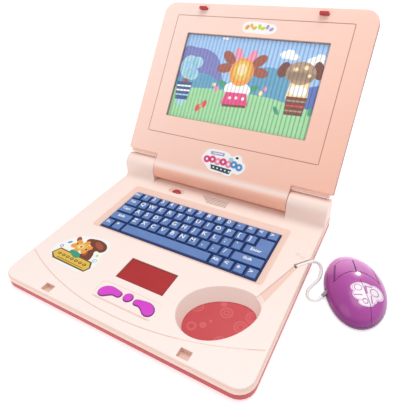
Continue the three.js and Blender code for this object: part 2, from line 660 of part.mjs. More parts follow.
function switchKnob() {
  const dome = stack([
    { z: DECK_HEIGHT - SWITCH_SINK + GAP, points: circle(SWITCH_X, SWITCH_Y, 4.2) },
    { z: DECK_HEIGHT, points: circle(SWITCH_X, SWITCH_Y, 4.2) },
  ]);
  const cap = rectangle({
    x0: SWITCH_X - 5.5, x1: SWITCH_X + 5.5, y0: SWITCH_Y - 4, y1: SWITCH_Y + 4, radii: [4, 4, 4, 4].map((r) => r - 0.05),
  });
  const scale = (k) => cap.map(({ x, y }) => point(SWITCH_X + (x - SWITCH_X) * k, SWITCH_Y + (y - SWITCH_Y) * k));
  const low = DECK_HEIGHT - SWITCH_SINK + GAP;
  const levels = [[0, 1], [0.2, 0.99], [0.6, 0.87], [0.85, 0.66], [1, 0.34]];
  const high = DECK_HEIGHT + 0.6;
  const hood = stack(levels.map(([t, k]) => ({ z: low + (high - low) * t, points: scale(k) })));
  const stem = box(SWITCH_X - 3, SWITCH_X + 3, SWITCH_Y - 1.4, SWITCH_Y + 1.4, CEILING - 2.4, low + 0.4);
  return hood.add(stem).add(dome.intersect(hood));
}

function switchBody() {
  const top = CEILING - 1;
  const shell = box(SWITCH_X - 11, SWITCH_X + 11, SWITCH_Y - 4, SWITCH_Y + 4, top - 6, top);
  return shell.subtract(box(SWITCH_X - SLOT_LENGTH / 2, SWITCH_X + SLOT_LENGTH / 2, SWITCH_Y - 1.9, SWITCH_Y + 1.9,
    top - 2.4, top + CUT));
}

function speaker() {
  const top = CEILING - GAP;
  const radius = 12;
  const x = SPEAKER_X + 3;
  const y = SPEAKER_Y + 2;
  const frame = post(x, y, radius, top - 3.2, top, 20);
  const magnet = post(x, y, 6, top - 6, top - 3);
  return frame.subtract(post(x, y, radius - 1.5, top - 1.6, top + CUT, 20)).add(magnet);
}

function mainBoard() {
  const z = FLOOR + 2.2;
  const board = box(-40, 34, 48, 100, z, z + 1.4);
  const chip = box(-14, 6, 62, 78, z + CUT / 2, z + 3);
  return board.add(chip).add(post(20, 84, 3, z + CUT / 2, z + 4.4, 16));
}

// ---- keyboard -----------------------------------------------------------------------------

// Rows from the front: key widths in units, and where the row starts.
const keyRows = {
  bottom_left_keys: { row: 0, from: 0, widths: [1.1, 1.1] },
  space_bar: { row: 0, from: 2.2, widths: [8.7] },
  bottom_right_keys: { row: 0, from: 10.9, widths: [1.025, 1.025, 1.025, 1.025] },
  shift_row_keys: { row: 1, from: 0, widths: [2.25, ...Array(10).fill(1), 2.75] },
  home_row_keys: { row: 2, from: 0, widths: [1.75, ...Array(11).fill(1)] },
  qwerty_row_keys: { row: 3, from: 0, widths: [1.5, ...Array(12).fill(1)] },
  number_row_keys: { row: 4, from: 0, widths: Array(15).fill(1) },
};

function keyCap(x0, x1, y0, y1) {
  const outline = (inset) => [
    point(x0 + inset, y0 + inset), point(x1 - inset, y0 + inset),
    point(x1 - inset, y1 - inset), point(x0 + inset, y1 - inset),
  ];
  const foot = KEY_GAP / 2;
  return stack([{ z: WEB_TOP - 0.2, points: outline(foot) }, { z: KEY_TOP, points: outline(foot + KEY_TAPER) }]);
}

function keyStrip({ row, from, widths }) {
  const unit = (u) => KEYBOARD_LEFT + u * KEY_PITCH;
  const y0 = KEYBOARD_FRONT + row * ROW_PITCH;
  const y1 = y0 + ROW_PITCH;
  const total = widths.reduce((sum, width) => sum + width, from);
  let strip = box(unit(from) + GAP, unit(total) - GAP, y0 + GAP, y1 - GAP, WEB_LOW, WEB_TOP);
  let left = from;
  widths.forEach((width) => {
    strip = strip.add(keyCap(unit(left), unit(left + width), y0, y1));
    left += width;
  });
  return strip;
}

// The L-shaped key at the end of the second and third rows.
function enterKey() {
  const unit = (u) => KEYBOARD_LEFT + u * KEY_PITCH;
  const low = KEYBOARD_FRONT + 2 * ROW_PITCH;
  const mid = low + ROW_PITCH;
  const high = mid + ROW_PITCH;
  const outline = (inset) => [
    point(unit(12.75) + inset, low + inset), point(unit(15) - inset, low + inset),
    point(unit(15) - inset, high - inset), point(unit(13.5) + inset, high - inset),
    point(unit(13.5) + inset, mid - inset), point(unit(12.75) + inset, mid - inset),
  ];
  const foot = KEY_GAP / 2;
  const web = prism(outline(GAP), WEB_LOW, WEB_TOP);
  return web.add(stack([{ z: WEB_TOP - 0.2, points: outline(foot) }, { z: KEY_TOP, points: outline(foot + KEY_TAPER) }]));
}

function keyboardPlate(grow, z0, z1) {
  return prism(rectangle({ ...wellInner, radii: [2, 2, 2, 2], steps: 2 }, -grow), z0, z1);
}

const BOARD_LOW = MEMBRANE_TOP - 1 - GAP - 1.2;

function keyboardTray() {
  const low = BOARD_LOW - GAP - 1.4;
  const rim = WELL_UNDER - GAP;
  return keyboardPlate(3.4, low, rim).subtract(keyboardPlate(1.8, low + 1.4, rim + CUT));
}

// ---- hinge and lid ------------------------------------------------------------------------
// Lid frame: origin on the hinge axis, y up along the lid, z out of its inner face.

const lidRadii = [3, 3, CORNER_RADIUS, CORNER_RADIUS];
const lidOutline = (inset) => rectangle({ x0: -HALF, x1: HALF, y0: LID_BOTTOM, y1: LID_LENGTH, radii: lidRadii }, inset);
const FACE = HINGE_RADIUS; // height of the inner face over the axis
const HEEL_TOP = LID_BOTTOM + 3.4;
const LIP_SINK = 2.9; // the lid's lower lip lies this far behind its face
const lidScrews = [[-1, LID_BOTTOM + 12], [1, LID_BOTTOM + 12], [-1, LID_LENGTH - 14], [1, LID_LENGTH - 14]]
  .map(([side, y]) => [side * (HALF - 12), y]);
const screenBox = (grow) => ({
  x0: -SCREEN_WIDTH / 2 - grow,
  x1: SCREEN_WIDTH / 2 + grow,
  y0: SCREEN_LOW - grow,
  y1: SCREEN_LOW + SCREEN_HEIGHT + grow,
});
const plateOf = ({ x0, x1, y0, y1 }, z0, z1) => box(x0, x1, y0, y1, z0, z1);
const WINDOW_TOP = FACE - WALL - GAP; // flange of the window, behind the front plate
const WINDOW_LOW = WINDOW_TOP - 1.2;

function lidBarrel(cover) {
  const half = BARREL_LENGTH / 2;
  const barrel = rod(HINGE_RADIUS, -half, half, 0, 0, 44);
  const neck = box(-half, half, 0, HEEL_TOP, LID_BACK, FACE);
  const bore = rod(HINGE_RADIUS - WALL, -half + PIN_LENGTH / 2 + 2, half - PIN_LENGTH / 2 - 2, 0, 0, 16);
  const wireWay = box(-50, 50, 0, HEEL_TOP + CUT, LID_BACK + WALL, FACE - WALL);
  return cover.add(barrel).add(neck).subtract(bore).subtract(wireWay);
}

// Lip under the lid's lower edge that hides the gap over a knuckle.
function lowerLip(side) {
  const ends = [side * (BARREL_LENGTH / 2 - CUT), side * (HALF - 4)];
  const low = HINGE_RADIUS + GAP + 0.1;
  return box(Math.min(...ends), Math.max(...ends), low, HEEL_TOP - 1, LID_BACK, FACE - LIP_SINK);
}

function frameLine(cover) {
  const outer = {
    x0: -FRAME_WIDTH / 2, x1: FRAME_WIDTH / 2, y0: FRAME_LOW, y1: FRAME_LOW + FRAME_HEIGHT, radii: [1.5, 1.5, 1.5, 1.5], steps: 2,
  };
  const ring = prism(rectangle(outer, 0), FACE - LINE_DEPTH, FACE + CUT);
  return cover.subtract(ring.subtract(prism(rectangle(outer, LINE_WIDTH), 0, FACE + 2 * CUT)));
}

const hookY = HINGE_Y - LATCH_Y; // along the lid
const HOOK_SLOT = LATCH_THICK + 2 * GAP;

function lidFrontCover() {
  let cover = roundedTop(lidOutline, LID_SEAM + GAP, FACE, LID_ROUND);
  cover = cover.subtract(prism(lidOutline(WALL), 0, FACE - WALL));
  const heel = rectangle({ x0: -HALF, x1: HALF, y0: LID_BOTTOM, y1: HEEL_TOP, radii: [3, 3, 0, 0] });
  cover = cover.add(prism(heel, LID_BACK, FACE - LID_ROUND)).add(lowerLip(-1)).add(lowerLip(1));
  cover = lidBarrel(cover);
  const half = BARREL_LENGTH / 2;
  const bore = (x0, x1) => rod(PIN_RADIUS + GAP, x0, x1, 0, 0, 16);
  cover = cover.subtract(bore(-half - CUT, -half + PIN_LENGTH / 2)).subtract(bore(half - PIN_LENGTH / 2, half + CUT));
  const { x0, x1, y0, y1 } = screenBox(0);
  const outline = (inset) => rectangle({ x0, x1, y0, y1, radii: [0.6, 0.6, 0.6, 0.6], steps: 2 }, inset);
  cover = cover.subtract(stack([
    { z: FACE - WALL - CUT, points: outline(0) }, { z: FACE - 0.8, points: outline(0) }, { z: FACE, points: outline(-0.8) },
    { z: FACE + CUT, points: outline(-0.8) },
  ]));
  cover = frameLine(cover);
  [-1, 1].forEach((side) => {
    const x = side * LATCH_X;
    const wide = LATCH_WIDTH / 2 + GAP;
    cover = cover.subtract(box(x - wide, x + wide, hookY - HOOK_SLOT / 2, hookY + HOOK_SLOT / 2, LID_SEAM, FACE + CUT));
  });
  lidScrews.forEach(([x, y]) => {
    cover = cover.add(post(x, y, BOSS_RADIUS - 0.4, LID_SEAM + GAP, FACE - WALL / 2));
    cover = cover.subtract(post(x, y, SCREW_HOLE, 0, FACE - WALL - 0.8));
  });
  return cover;
}

function lidBackCover() {
  const outline = (inset) => rectangle({
    x0: -HALF, x1: HALF, y0: HEEL_TOP + GAP, y1: LID_LENGTH, radii: [0, 0, CORNER_RADIUS, CORNER_RADIUS],
  }, inset);
  let cover = stack([
    { z: LID_BACK, points: outline(2) },
    { z: LID_BACK + 0.7, points: outline(0.6) },
    { z: LID_BACK + 2, points: outline(0) },
    { z: LID_SEAM, points: outline(0) },
  ]);
  cover = cover.subtract(prism(outline(WALL), LID_BACK + WALL, LID_SEAM + CUT));
  lidScrews.forEach(([x, y]) => {
    cover = cover.add(post(x, y, BOSS_RADIUS, LID_BACK + WALL / 2, LID_SEAM));
    cover = cover.subtract(post(x, y, SCREW_HOLE, LID_BACK - CUT, LID_SEAM + CUT));
    cover = cover.subtract(post(x, y, SCREW_HEAD + GAP, LID_BACK - CUT, LID_BACK + 1.6));
  });
  return cover;
}

// Clear window: a flange behind the cover and a ribbed front that fills the opening.
function screenWindow() {
  const flange = plateOf(screenBox(3.4), WINDOW_LOW, WINDOW_TOP);
  const { x0, x1, y0, y1 } = screenBox(-GAP);
  const top = FACE - SCREEN_SINK;
  const pitch = (x1 - x0) / SCREEN_RIBS;
  const profile = [point(x0, WINDOW_LOW + 0.4), point(x1, WINDOW_LOW + 0.4)];
  for (let rib = SCREEN_RIBS; rib > 0; rib -= 1) {
    const right = x0 + rib * pitch;
    profile.push(point(right, top - RIB_DEPTH), point(right - pitch * 0.3, top), point(right - pitch * 0.7, top));
  }
  profile.push(point(x0, top - RIB_DEPTH));
  const shape = new THREE.Shape(profile);
  const ribbed = new THREE.ExtrudeGeometry(shape, { depth: y1 - y0, bevelEnabled: false });
  ribbed.rotateX(Math.PI / 2).translate(0, y1, 0);
  return flange.add(toSolid(ribbed));
}

function latchHook(side) {
  const x = side * LATCH_X;
  const half = LATCH_WIDTH / 2;
  const shank = box(x - half, x + half, hookY - LATCH_THICK / 2, hookY + LATCH_THICK / 2, LID_SEAM + 1.2,
    FACE + LATCH_REACH);
  const barb = box(x - half, x + half, hookY - LATCH_THICK / 2 - 1.2, hookY, FACE + LATCH_REACH - 1.8,
    FACE + LATCH_REACH);
  const root = box(x - half - 2, x + half + 2, hookY - 3.4, hookY + 3, LID_SEAM + 1.2, FACE - WALL - GAP);
  return shank.add(barb).add(root);
}

const lidScrew = (x, y) => screw(x, y, LID_BACK + 0.1, FACE - WALL - 1.4);

// ---- mouse --------------------------------------------------------------------------------
// Mouse frame: u to the right of its own long axis n, origin at its middle on the table.

const mouseEgg = { x: 0, y: 0, long: MOUSE_SHORT, short: MOUSE_LONG, angle: 0, taper: -MOUSE_EGG };

function mouseSections(inset, lowZ, highZ, levels) {
  const top = MOUSE_HEIGHT - inset;
  const waist = MOUSE_SPLIT - 2.4;
  const heights = [lowZ];
  for (let level = 0; level <= levels; level += 1) {
    const z = waist + (top - waist) * Math.sin((Math.PI / 2) * (level / levels) * 0.985);
    if (z > lowZ + 0.2 && z < highZ - 0.2) heights.push(z);
  }
  heights.push(Math.min(highZ, waist + (top - waist) * 0.9995));
  return heights.map((z) => {
    const rise = Math.max(0, (z - waist) / (top - waist));
    const swell = z < waist ? 1 - 0.05 * ((waist - z) / waist) ** 2 : Math.sqrt(Math.max(1e-4, 1 - rise ** 2.15));
    const outline = egg({ ...mouseEgg, steps: inset ? 24 : 48 }, inset);
    return { z, points: outline.map(({ x, y }) => point(x * swell, y * swell)) };
  });
}

const mouseBody = (inset, z0, z1) => stack(mouseSections(inset, z0, z1, inset ? 6 : 12));
const LENS_U = 1.2;
const LENS_N = 5.4;
const LENS_RADIUS = 2.4;

// Outline of the two buttons together, seen from above: nose side, split and rear edge.
const BUTTON_NOSE = 27;
const BUTTON_SIDE = 20.6;
const BUTTON_REAR = 8.4;
const BUTTON_SWEEP = 10;

function mouseButtonOutline(side, inset) {
  const inner = side * (GAP / 2 + inset);
  const outer = side * (BUTTON_SIDE - inset);
  const steps = 5;
  const points = [point(inner, BUTTON_REAR + inset)];
  for (let step = 1; step <= steps; step += 1) {
    const t = step / steps;
    points.push(point(inner + (outer - inner) * t, BUTTON_REAR - BUTTON_SWEEP * t * t + inset));
  }
  points.push(point(side * (BUTTON_SIDE - 3.6 - inset), BUTTON_NOSE - 6 - inset));
  points.push(point(side * (BUTTON_SIDE - 8 - inset), BUTTON_NOSE - 1.5 - inset));
  points.push(point(inner, BUTTON_NOSE - inset));
  return side < 0 ? points.reverse() : points;
}

const reliefTip = new THREE.Vector3(MOUSE_X - 25.8, 127.7, 4.3);
const reliefRoot = new THREE.Vector3(MOUSE_X - 19.3, 140.4, 7.2);

function toMouse(vector) {
  const turned = vector.clone().sub(new THREE.Vector3(MOUSE_X, MOUSE_Y, 0));
  return turned.applyAxisAngle(new THREE.Vector3(0, 0, 1), -radians(MOUSE_ANGLE));
}

function reliefBore() {
  const from = toMouse(reliefTip);
  const to = toMouse(reliefRoot);
  const along = to.clone().sub(from).normalize();
  return spar(from.clone().addScaledVector(along, -6), to.clone().addScaledVector(along, 3), 3, 3, 16);
}

function mouseTopShell() {
  const low = MOUSE_SPLIT + GAP;
  let shell = mouseBody(0, low, MOUSE_HEIGHT).subtract(mouseBody(MOUSE_WALL, low - CUT, MOUSE_HEIGHT));
  [-1, 1].forEach((side) => {
    shell = shell.subtract(prism(mouseButtonOutline(side, 0), low + CUT, MOUSE_HEIGHT + CUT));
  });
  const slit = box(-GAP, GAP, BUTTON_REAR, BUTTON_NOSE, low + CUT, MOUSE_HEIGHT + CUT);
  shell = shell.subtract(slit);
  shell = shell.subtract(post(LENS_U, LENS_N, LENS_RADIUS + GAP, low + CUT, MOUSE_HEIGHT + CUT));
  return shell.subtract(reliefBore());
}

function mouseButton(side) {
  const skin = mouseBody(0, MOUSE_SPLIT + 3, MOUSE_HEIGHT).subtract(mouseBody(MOUSE_WALL, 0, MOUSE_HEIGHT));
  return skin.intersect(prism(mouseButtonOutline(side, GAP), MOUSE_SPLIT + 2, MOUSE_HEIGHT + CUT));
}

function mouseLens() {
  const high = MOUSE_HEIGHT + 0.1;
  return stack([
    { z: MOUSE_HEIGHT - 6, points: circle(LENS_U, LENS_N, LENS_RADIUS, 16) },
    { z: high - 0.9, points: circle(LENS_U, LENS_N, LENS_RADIUS, 16) },
    { z: high - 0.4, points: circle(LENS_U, LENS_N, LENS_RADIUS * 0.86, 16) },
    { z: high, points: circle(LENS_U, LENS_N, LENS_RADIUS * 0.5, 16) },
  ]);
}

function mouseBottomShell() {
  let shell = mouseBody(0, MOUSE_LIFT, MOUSE_SPLIT);
  shell = shell.subtract(mouseBody(MOUSE_WALL, MOUSE_LIFT + MOUSE_WALL, MOUSE_SPLIT + CUT));
  [[0, 28], [0, -28]].forEach(([u, n]) => {
    shell = shell.add(prism(rectangle({ x0: u - 8, x1: u + 8, y0: n - 2.5, y1: n + 2.5, radii: [2, 2, 2, 2], steps: 3 }),
      0, MOUSE_LIFT + 0.5));
  });
  shell = shell.add(post(0, -12, 4, MOUSE_LIFT + CUT, MOUSE_SPLIT));
  shell = shell.subtract(post(0, -12, SCREW_HOLE, -CUT, MOUSE_SPLIT + CUT));
  shell = shell.subtract(post(0, -12, SCREW_HEAD + GAP, -CUT, MOUSE_LIFT + 1.5));
  return shell.subtract(reliefBore());
}

function mouseBoard() {
  const z = MOUSE_SPLIT + 1;
  const board = box(-12, 14, -2, 26, z, z + 1.4);
  return board.add(post(LENS_U, LENS_N, 1.6, z + CUT / 2, MOUSE_HEIGHT - 6 - GAP, 12));
}

// ---- put it together ----------------------------------------------------------------------

place(laptop, 'base_bottom_shell', baseBottomShell(), finish.red());
place(laptop, 'base_top_shell', baseTopShell(), finish.shell());
place(laptop, 'battery_door', batteryDoor(), finish.red());
const doorScrewTop = SPLIT_HEIGHT;
place(laptop, 'battery_door_screw', screw(DOOR_SCREW_X, BATTERY_Y, 0.05, doorScrewTop), finish.steel());
for (let index = 0; index < CELL_COUNT; index += 1) {
  place(laptop, `battery_cell_${index + 1}`, batteryCell(index), finish.dark());
}
place(laptop, 'battery_contact_left', batteryContact(-1), finish.steel());
place(laptop, 'battery_contact_right', batteryContact(1), finish.steel());
place(laptop, 'touchpad_panel', touchpadPanel(), finish.pad());
place(laptop, 'left_wing_button', pressButton((inset) => wingOutline(-1, inset)), finish.magenta());
place(laptop, 'right_wing_button', pressButton((inset) => wingOutline(1, inset)), finish.magenta());
const centreOutline = (inset) => circle(BUTTON_X, BUTTON_Y, BUTTON_RADIUS - inset);
place(laptop, 'centre_button', pressButton(centreOutline), finish.magenta());
place(laptop, 'button_board', buttonBoard(), finish.board());
place(laptop, 'power_switch_knob', switchKnob(), finish.red());
place(laptop, 'power_switch_body', switchBody(), finish.dark());
place(laptop, 'speaker', speaker(), finish.dark());
place(laptop, 'main_board', mainBoard(), finish.board());
place(laptop, 'keyboard_tray', keyboardTray(), finish.grey());
place(laptop, 'keyboard_board', keyboardPlate(1, BOARD_LOW, BOARD_LOW + 1.2), finish.board());
place(laptop, 'keyboard_membrane', keyboardPlate(1, MEMBRANE_TOP - 1, MEMBRANE_TOP), finish.rubber());
Object.entries(keyRows).forEach(([name, row]) => {
  place(laptop, name, keyStrip(row), finish.key());
});
place(laptop, 'enter_key', enterKey(), finish.key());
footPlaces.forEach(([x, y], index) => {
  place(laptop, `rubber_foot_${index + 1}`, foot(x, y), finish.rubber());
});
baseScrews.forEach(([x, y], index) => {
  place(laptop, `base_screw_${index + 1}`, screw(x, y, FOOT_HEIGHT + 0.2, CEILING - 2), finish.steel());
});
[-1, 1].forEach((side) => {
  const middle = side * (BARREL_LENGTH / 2 + 0.3);
  const half = PIN_LENGTH / 2 - 0.5;
  const pin = rod(PIN_RADIUS, middle - half, middle + half, HINGE_Y, HINGE_Z, 16);
  place(laptop, side < 0 ? 'hinge_pin_left' : 'hinge_pin_right', pin, finish.steel());
});

const lid = new THREE.Group();
lid.position.set(0, HINGE_Y, HINGE_Z);
lid.rotation.x = radians(90 - LID_LEAN);
laptop.add(lid);
place(lid, 'lid_front_cover', lidFrontCover(), finish.shell());
place(lid, 'lid_back_cover', lidBackCover(), finish.red());
place(lid, 'screen_window', screenWindow(), finish.clear());
place(lid, 'screen_picture', plateOf(screenBox(3), WINDOW_LOW - GAP - 0.5, WINDOW_LOW - GAP), finish.picture());
const backingTop = WINDOW_LOW - 2 * GAP - 0.5;
place(lid, 'screen_backing', plateOf(screenBox(5), backingTop - 1, backingTop), finish.grey());
place(lid, 'latch_hook_left', latchHook(-1), finish.red());
place(lid, 'latch_hook_right', latchHook(1), finish.red());
lidScrews.forEach(([x, y], index) => {
  place(lid, `lid_screw_${index + 1}`, lidScrew(x, y), finish.steel());
});

const mouse = new THREE.Group();
mouse.position.set(MOUSE_X, MOUSE_Y, 0);
mouse.rotation.z = radians(MOUSE_ANGLE);
laptop.add(mouse);
place(mouse, 'mouse_top_shell', mouseTopShell(), finish.mouse());
place(mouse, 'mouse_bottom_shell', mouseBottomShell(), finish.mouse());
place(mouse, 'mouse_left_button', mouseButton(-1), finish.mouse());
place(mouse, 'mouse_right_button', mouseButton(1), finish.mouse());
place(mouse, 'mouse_lens', mouseLens(), finish.clear());
place(mouse, 'mouse_board', mouseBoard(), finish.board());
place(mouse, 'mouse_screw', screw(0, -12, MOUSE_LIFT - 0.2, MOUSE_SPLIT - 0.4), finish.steel());

// Cord: a plain tube on the route, and the tapered sleeve where it enters the mouse.
function cordTube() {
  const section = new THREE.Shape(circle(0, 0, CORD_RADIUS, 8));
  const path = new THREE.CatmullRomCurve3(cordRoute, false, 'centripetal');
  return toSolid(new THREE.ExtrudeGeometry(section, { steps: 20, extrudePath: path, bevelEnabled: false }));
}

place(laptop, 'mouse_cord', cordTube(), finish.white());
place(laptop, 'mouse_strain_relief', spar(reliefTip, reliefRoot, CORD_RADIUS + 0.1, 2.6), finish.grey());

// Origin: middle of the object's own box, on the table. The cord doesn't count.
const extent = new THREE.Box3();
laptop.updateMatrixWorld(true);
laptop.traverse((item) => {
  if (item.isMesh && !cordNodes.includes(item.name)) extent.expandByObject(item, true);
});
const middle = extent.getCenter(new THREE.Vector3());
laptop.position.set(-middle.x, -middle.y, -extent.min.z);

export default laptop;
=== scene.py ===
import json
import math

import bmesh
import bpy
from mathutils import Matrix, Quaternion, Vector

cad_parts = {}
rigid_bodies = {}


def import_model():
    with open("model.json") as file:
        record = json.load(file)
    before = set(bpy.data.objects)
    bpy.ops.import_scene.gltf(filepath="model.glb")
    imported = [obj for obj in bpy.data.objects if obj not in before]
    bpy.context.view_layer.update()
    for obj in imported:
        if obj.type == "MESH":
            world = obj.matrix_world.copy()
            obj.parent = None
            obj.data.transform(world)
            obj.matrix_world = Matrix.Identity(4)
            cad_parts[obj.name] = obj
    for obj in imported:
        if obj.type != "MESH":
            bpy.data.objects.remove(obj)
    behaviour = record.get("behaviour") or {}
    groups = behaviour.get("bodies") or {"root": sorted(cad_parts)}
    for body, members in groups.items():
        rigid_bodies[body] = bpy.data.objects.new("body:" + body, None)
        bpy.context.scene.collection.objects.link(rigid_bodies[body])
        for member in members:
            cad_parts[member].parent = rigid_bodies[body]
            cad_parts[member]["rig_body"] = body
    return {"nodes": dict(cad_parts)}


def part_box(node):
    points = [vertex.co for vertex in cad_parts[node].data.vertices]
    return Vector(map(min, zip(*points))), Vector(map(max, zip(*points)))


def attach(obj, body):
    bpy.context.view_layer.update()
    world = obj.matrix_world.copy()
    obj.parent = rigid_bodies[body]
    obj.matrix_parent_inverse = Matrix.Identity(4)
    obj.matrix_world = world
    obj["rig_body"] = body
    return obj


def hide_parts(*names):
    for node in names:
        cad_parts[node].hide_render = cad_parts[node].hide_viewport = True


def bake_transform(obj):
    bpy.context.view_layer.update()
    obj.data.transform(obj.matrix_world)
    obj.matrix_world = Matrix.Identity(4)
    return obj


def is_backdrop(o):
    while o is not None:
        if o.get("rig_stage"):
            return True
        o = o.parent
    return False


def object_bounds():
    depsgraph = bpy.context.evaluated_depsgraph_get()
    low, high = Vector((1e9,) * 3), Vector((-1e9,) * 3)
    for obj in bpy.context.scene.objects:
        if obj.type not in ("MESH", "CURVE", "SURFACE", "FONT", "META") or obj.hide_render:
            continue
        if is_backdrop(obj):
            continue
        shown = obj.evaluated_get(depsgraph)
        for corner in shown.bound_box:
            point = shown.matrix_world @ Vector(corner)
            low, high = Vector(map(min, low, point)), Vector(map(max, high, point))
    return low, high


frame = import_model()
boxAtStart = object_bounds()
mm = 0.001
print("frame loaded:", len(frame["nodes"]), "nodes")

# places taken from the frame

baseLow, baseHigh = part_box("base_bottom_shell")
home = Vector(((baseLow.x + baseHigh.x) / 2, baseLow.y, 0))  # middle of the front edge, on the table
keyDrop = 0.4  # the key tops lie this far below the deck
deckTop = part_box("number_row_keys")[1].z / mm + keyDrop
sideX = (baseHigh.x - home.x) / mm  # the base's right side
pinLow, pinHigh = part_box("hinge_pin_left")
lidLean = 38
lidPlace = Matrix.Translation((home.x, (pinLow.y + pinHigh.y) / 2, (pinLow.z + pinHigh.z) / 2))
lidPlace = lidPlace @ Matrix.Rotation(math.radians(90 - lidLean), 4, "X")
mouseLow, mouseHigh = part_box("mouse_bottom_shell")
mouseTurn = 20.9
mousePlace = Matrix.Translation(((mouseLow.x + mouseHigh.x) / 2, (mouseLow.y + mouseHigh.y) / 2, 0))
mousePlace = mousePlace @ Matrix.Rotation(math.radians(mouseTurn), 4, "Z")
basePlace = Matrix.Translation(home)


def at(x, y, z):
    return home + Vector((x, y, z)) * mm


# camera

camera = {
    "place": (194.9, -139.9, 305.3),
    "azimuth": 31.33,
    "elevation": 34.52,
    "roll": -3.71,
    "lens": 34.91,
    "shift": (0.0014, -0.0461),
}


def addCamera():
    azimuth = math.radians(camera["azimuth"])
    elevation = math.radians(camera["elevation"])
    level = math.cos(elevation)
    ahead = Vector((-math.sin(azimuth) * level, math.cos(azimuth) * level, -math.sin(elevation)))
    data = bpy.data.cameras.new("studioCamera")
    data.sensor_fit = "HORIZONTAL"
    data.sensor_width = 36
    data.lens = camera["lens"]
    data.shift_x, data.shift_y = camera["shift"]
    data.clip_start = 0.01
    data.clip_end = 20
    eye = bpy.data.objects.new("studioCamera", data)
    bpy.context.scene.collection.objects.link(eye)
    eye.location = at(*camera["place"])
    turn = ahead.to_track_quat("-Z", "Y") @ Quaternion((0, 0, 1), math.radians(camera["roll"]))
    eye.rotation_euler = turn.to_euler()
    bpy.context.scene.camera = eye


addCamera()
bpy.context.scene.view_settings.view_transform = "Standard"
print("camera placed")


def deselect():
    if bpy.context.object and bpy.context.object.mode != "OBJECT":
        bpy.ops.object.mode_set(mode="OBJECT")
    bpy.ops.object.select_all(action="DESELECT")


def pick(*objects):
    deselect()
    for item in objects:
        item.select_set(True)
    bpy.context.view_layer.objects.active = objects[-1]


# shader maths


class Wire:
    # an output socket; sums on it add Math nodes
    def __init__(self, tree, socket):
        self.tree = tree
        self.socket = socket

    def maths(self, operation, first, second=0.0):
        node = self.tree.nodes.new("ShaderNodeMath")
        node.operation = operation
        for socket, value in zip(node.inputs, (first, second)):
            if isinstance(value, Wire):
                self.tree.links.new(value.socket, socket)
            else:
                socket.default_value = value
        return Wire(self.tree, node.outputs[0])

    def __add__(self, other):
        return self.maths("ADD", self, other)

    def __radd__(self, other):
        return self.maths("ADD", other, self)

    def __sub__(self, other):
        return self.maths("SUBTRACT", self, other)

    def __rsub__(self, other):
        return self.maths("SUBTRACT", other, self)

    def __mul__(self, other):
        return self.maths("MULTIPLY", self, other)

    def __rmul__(self, other):
        return self.maths("MULTIPLY", other, self)

    def __truediv__(self, other):
        return self.maths("DIVIDE", self, other)

    def __rtruediv__(self, other):
        return self.maths("DIVIDE", other, self)

    def __pow__(self, other):
        return self.maths("POWER", self, other)

    def __gt__(self, other):
        return self.maths("GREATER_THAN", self, other)

    def __lt__(self, other):
        return self.maths("LESS_THAN", self, other)

    def smallest(self, other):
        return self.maths("MINIMUM", self, other)

    def largest(self, other):
        return self.maths("MAXIMUM", self, other)

    def sine(self):
        return self.maths("SINE", self)

    def size(self):
        return self.maths("ABSOLUTE", self)

    def clamp(self):
        return self.largest(0.0).smallest(1.0)


class Surface:
    # one material: fixed values on its shader, and a method for any node
    def __init__(self, name, **fixed):
        self.material = bpy.data.materials.new(name)
        self.material.use_nodes = True
        self.tree = self.material.node_tree
        self.shader = self.tree.nodes["Principled BSDF"]
        for socket, value in fixed.items():
            self.shader.inputs[socket.replace("_", " ")].default_value = value

    def node(self, kind, settings=None, inputs=None, output=0):
        node = self.tree.nodes.new("ShaderNode" + kind)
        for name, value in (settings or {}).items():
            setattr(node, name, value)
        for name, value in (inputs or {}).items():
            if isinstance(value, Wire):
                self.tree.links.new(value.socket, node.inputs[name])
            else:
                node.inputs[name].default_value = value
        return Wire(self.tree, node.outputs[output])

    def feed(self, name, wire):
        self.tree.links.new(wire.socket, self.shader.inputs[name])

    def spot(self):
        return self.node("TexCoord", output=3)  # object coordinates

    def axes(self, place=None):
        # x, y and z in millimetres, in the frame of a turned piece if its place is given
        spot = self.spot()
        if place:
            back = place.inverted()
            spot = self.node("Mapping", inputs={0: spot, 1: back.translation, 2: back.to_euler()})
        parts = [self.node("SeparateXYZ", inputs={0: spot}, output=axis) for axis in range(3)]
        return [part * 1000.0 for part in parts]

    def noise(self, scale, detail=2.0, roughness=0.5, spot=None):
        inputs = {"Scale": scale, "Detail": detail, "Roughness": roughness, "Vector": spot or self.spot()}
        return self.node("TexNoise", inputs=inputs)

    def mix(self, factor, first, second):
        # of two colours, whose sockets are the seventh and eighth of a Mix node
        settings = {"data_type": "RGBA"}
        colours = {6: first, 7: second}
        for name, value in colours.items():
            if not isinstance(value, Wire):
                colours[name] = (*value, 1)
        return self.node("Mix", settings, {0: factor, **colours}, output=2)

    def bump(self, height, strength=0.3, distance=0.0002):
        normal = self.node("Bump", inputs={"Height": height, "Strength": strength, "Distance": distance})
        self.feed("Normal", normal)


def screenColour(red, green, blue):
    # 0 to 255 as seen on a screen, to the linear values that a shader takes
    def linear(level):
        share = level / 255
        return share / 12.92 if level <= 10 else ((share + 0.055) / 1.055) ** 2.4

    return tuple(linear(level) for level in (red, green, blue))


# finishes

lidFace = 13.4  # inner face of the lid above the hinge axis, in mm


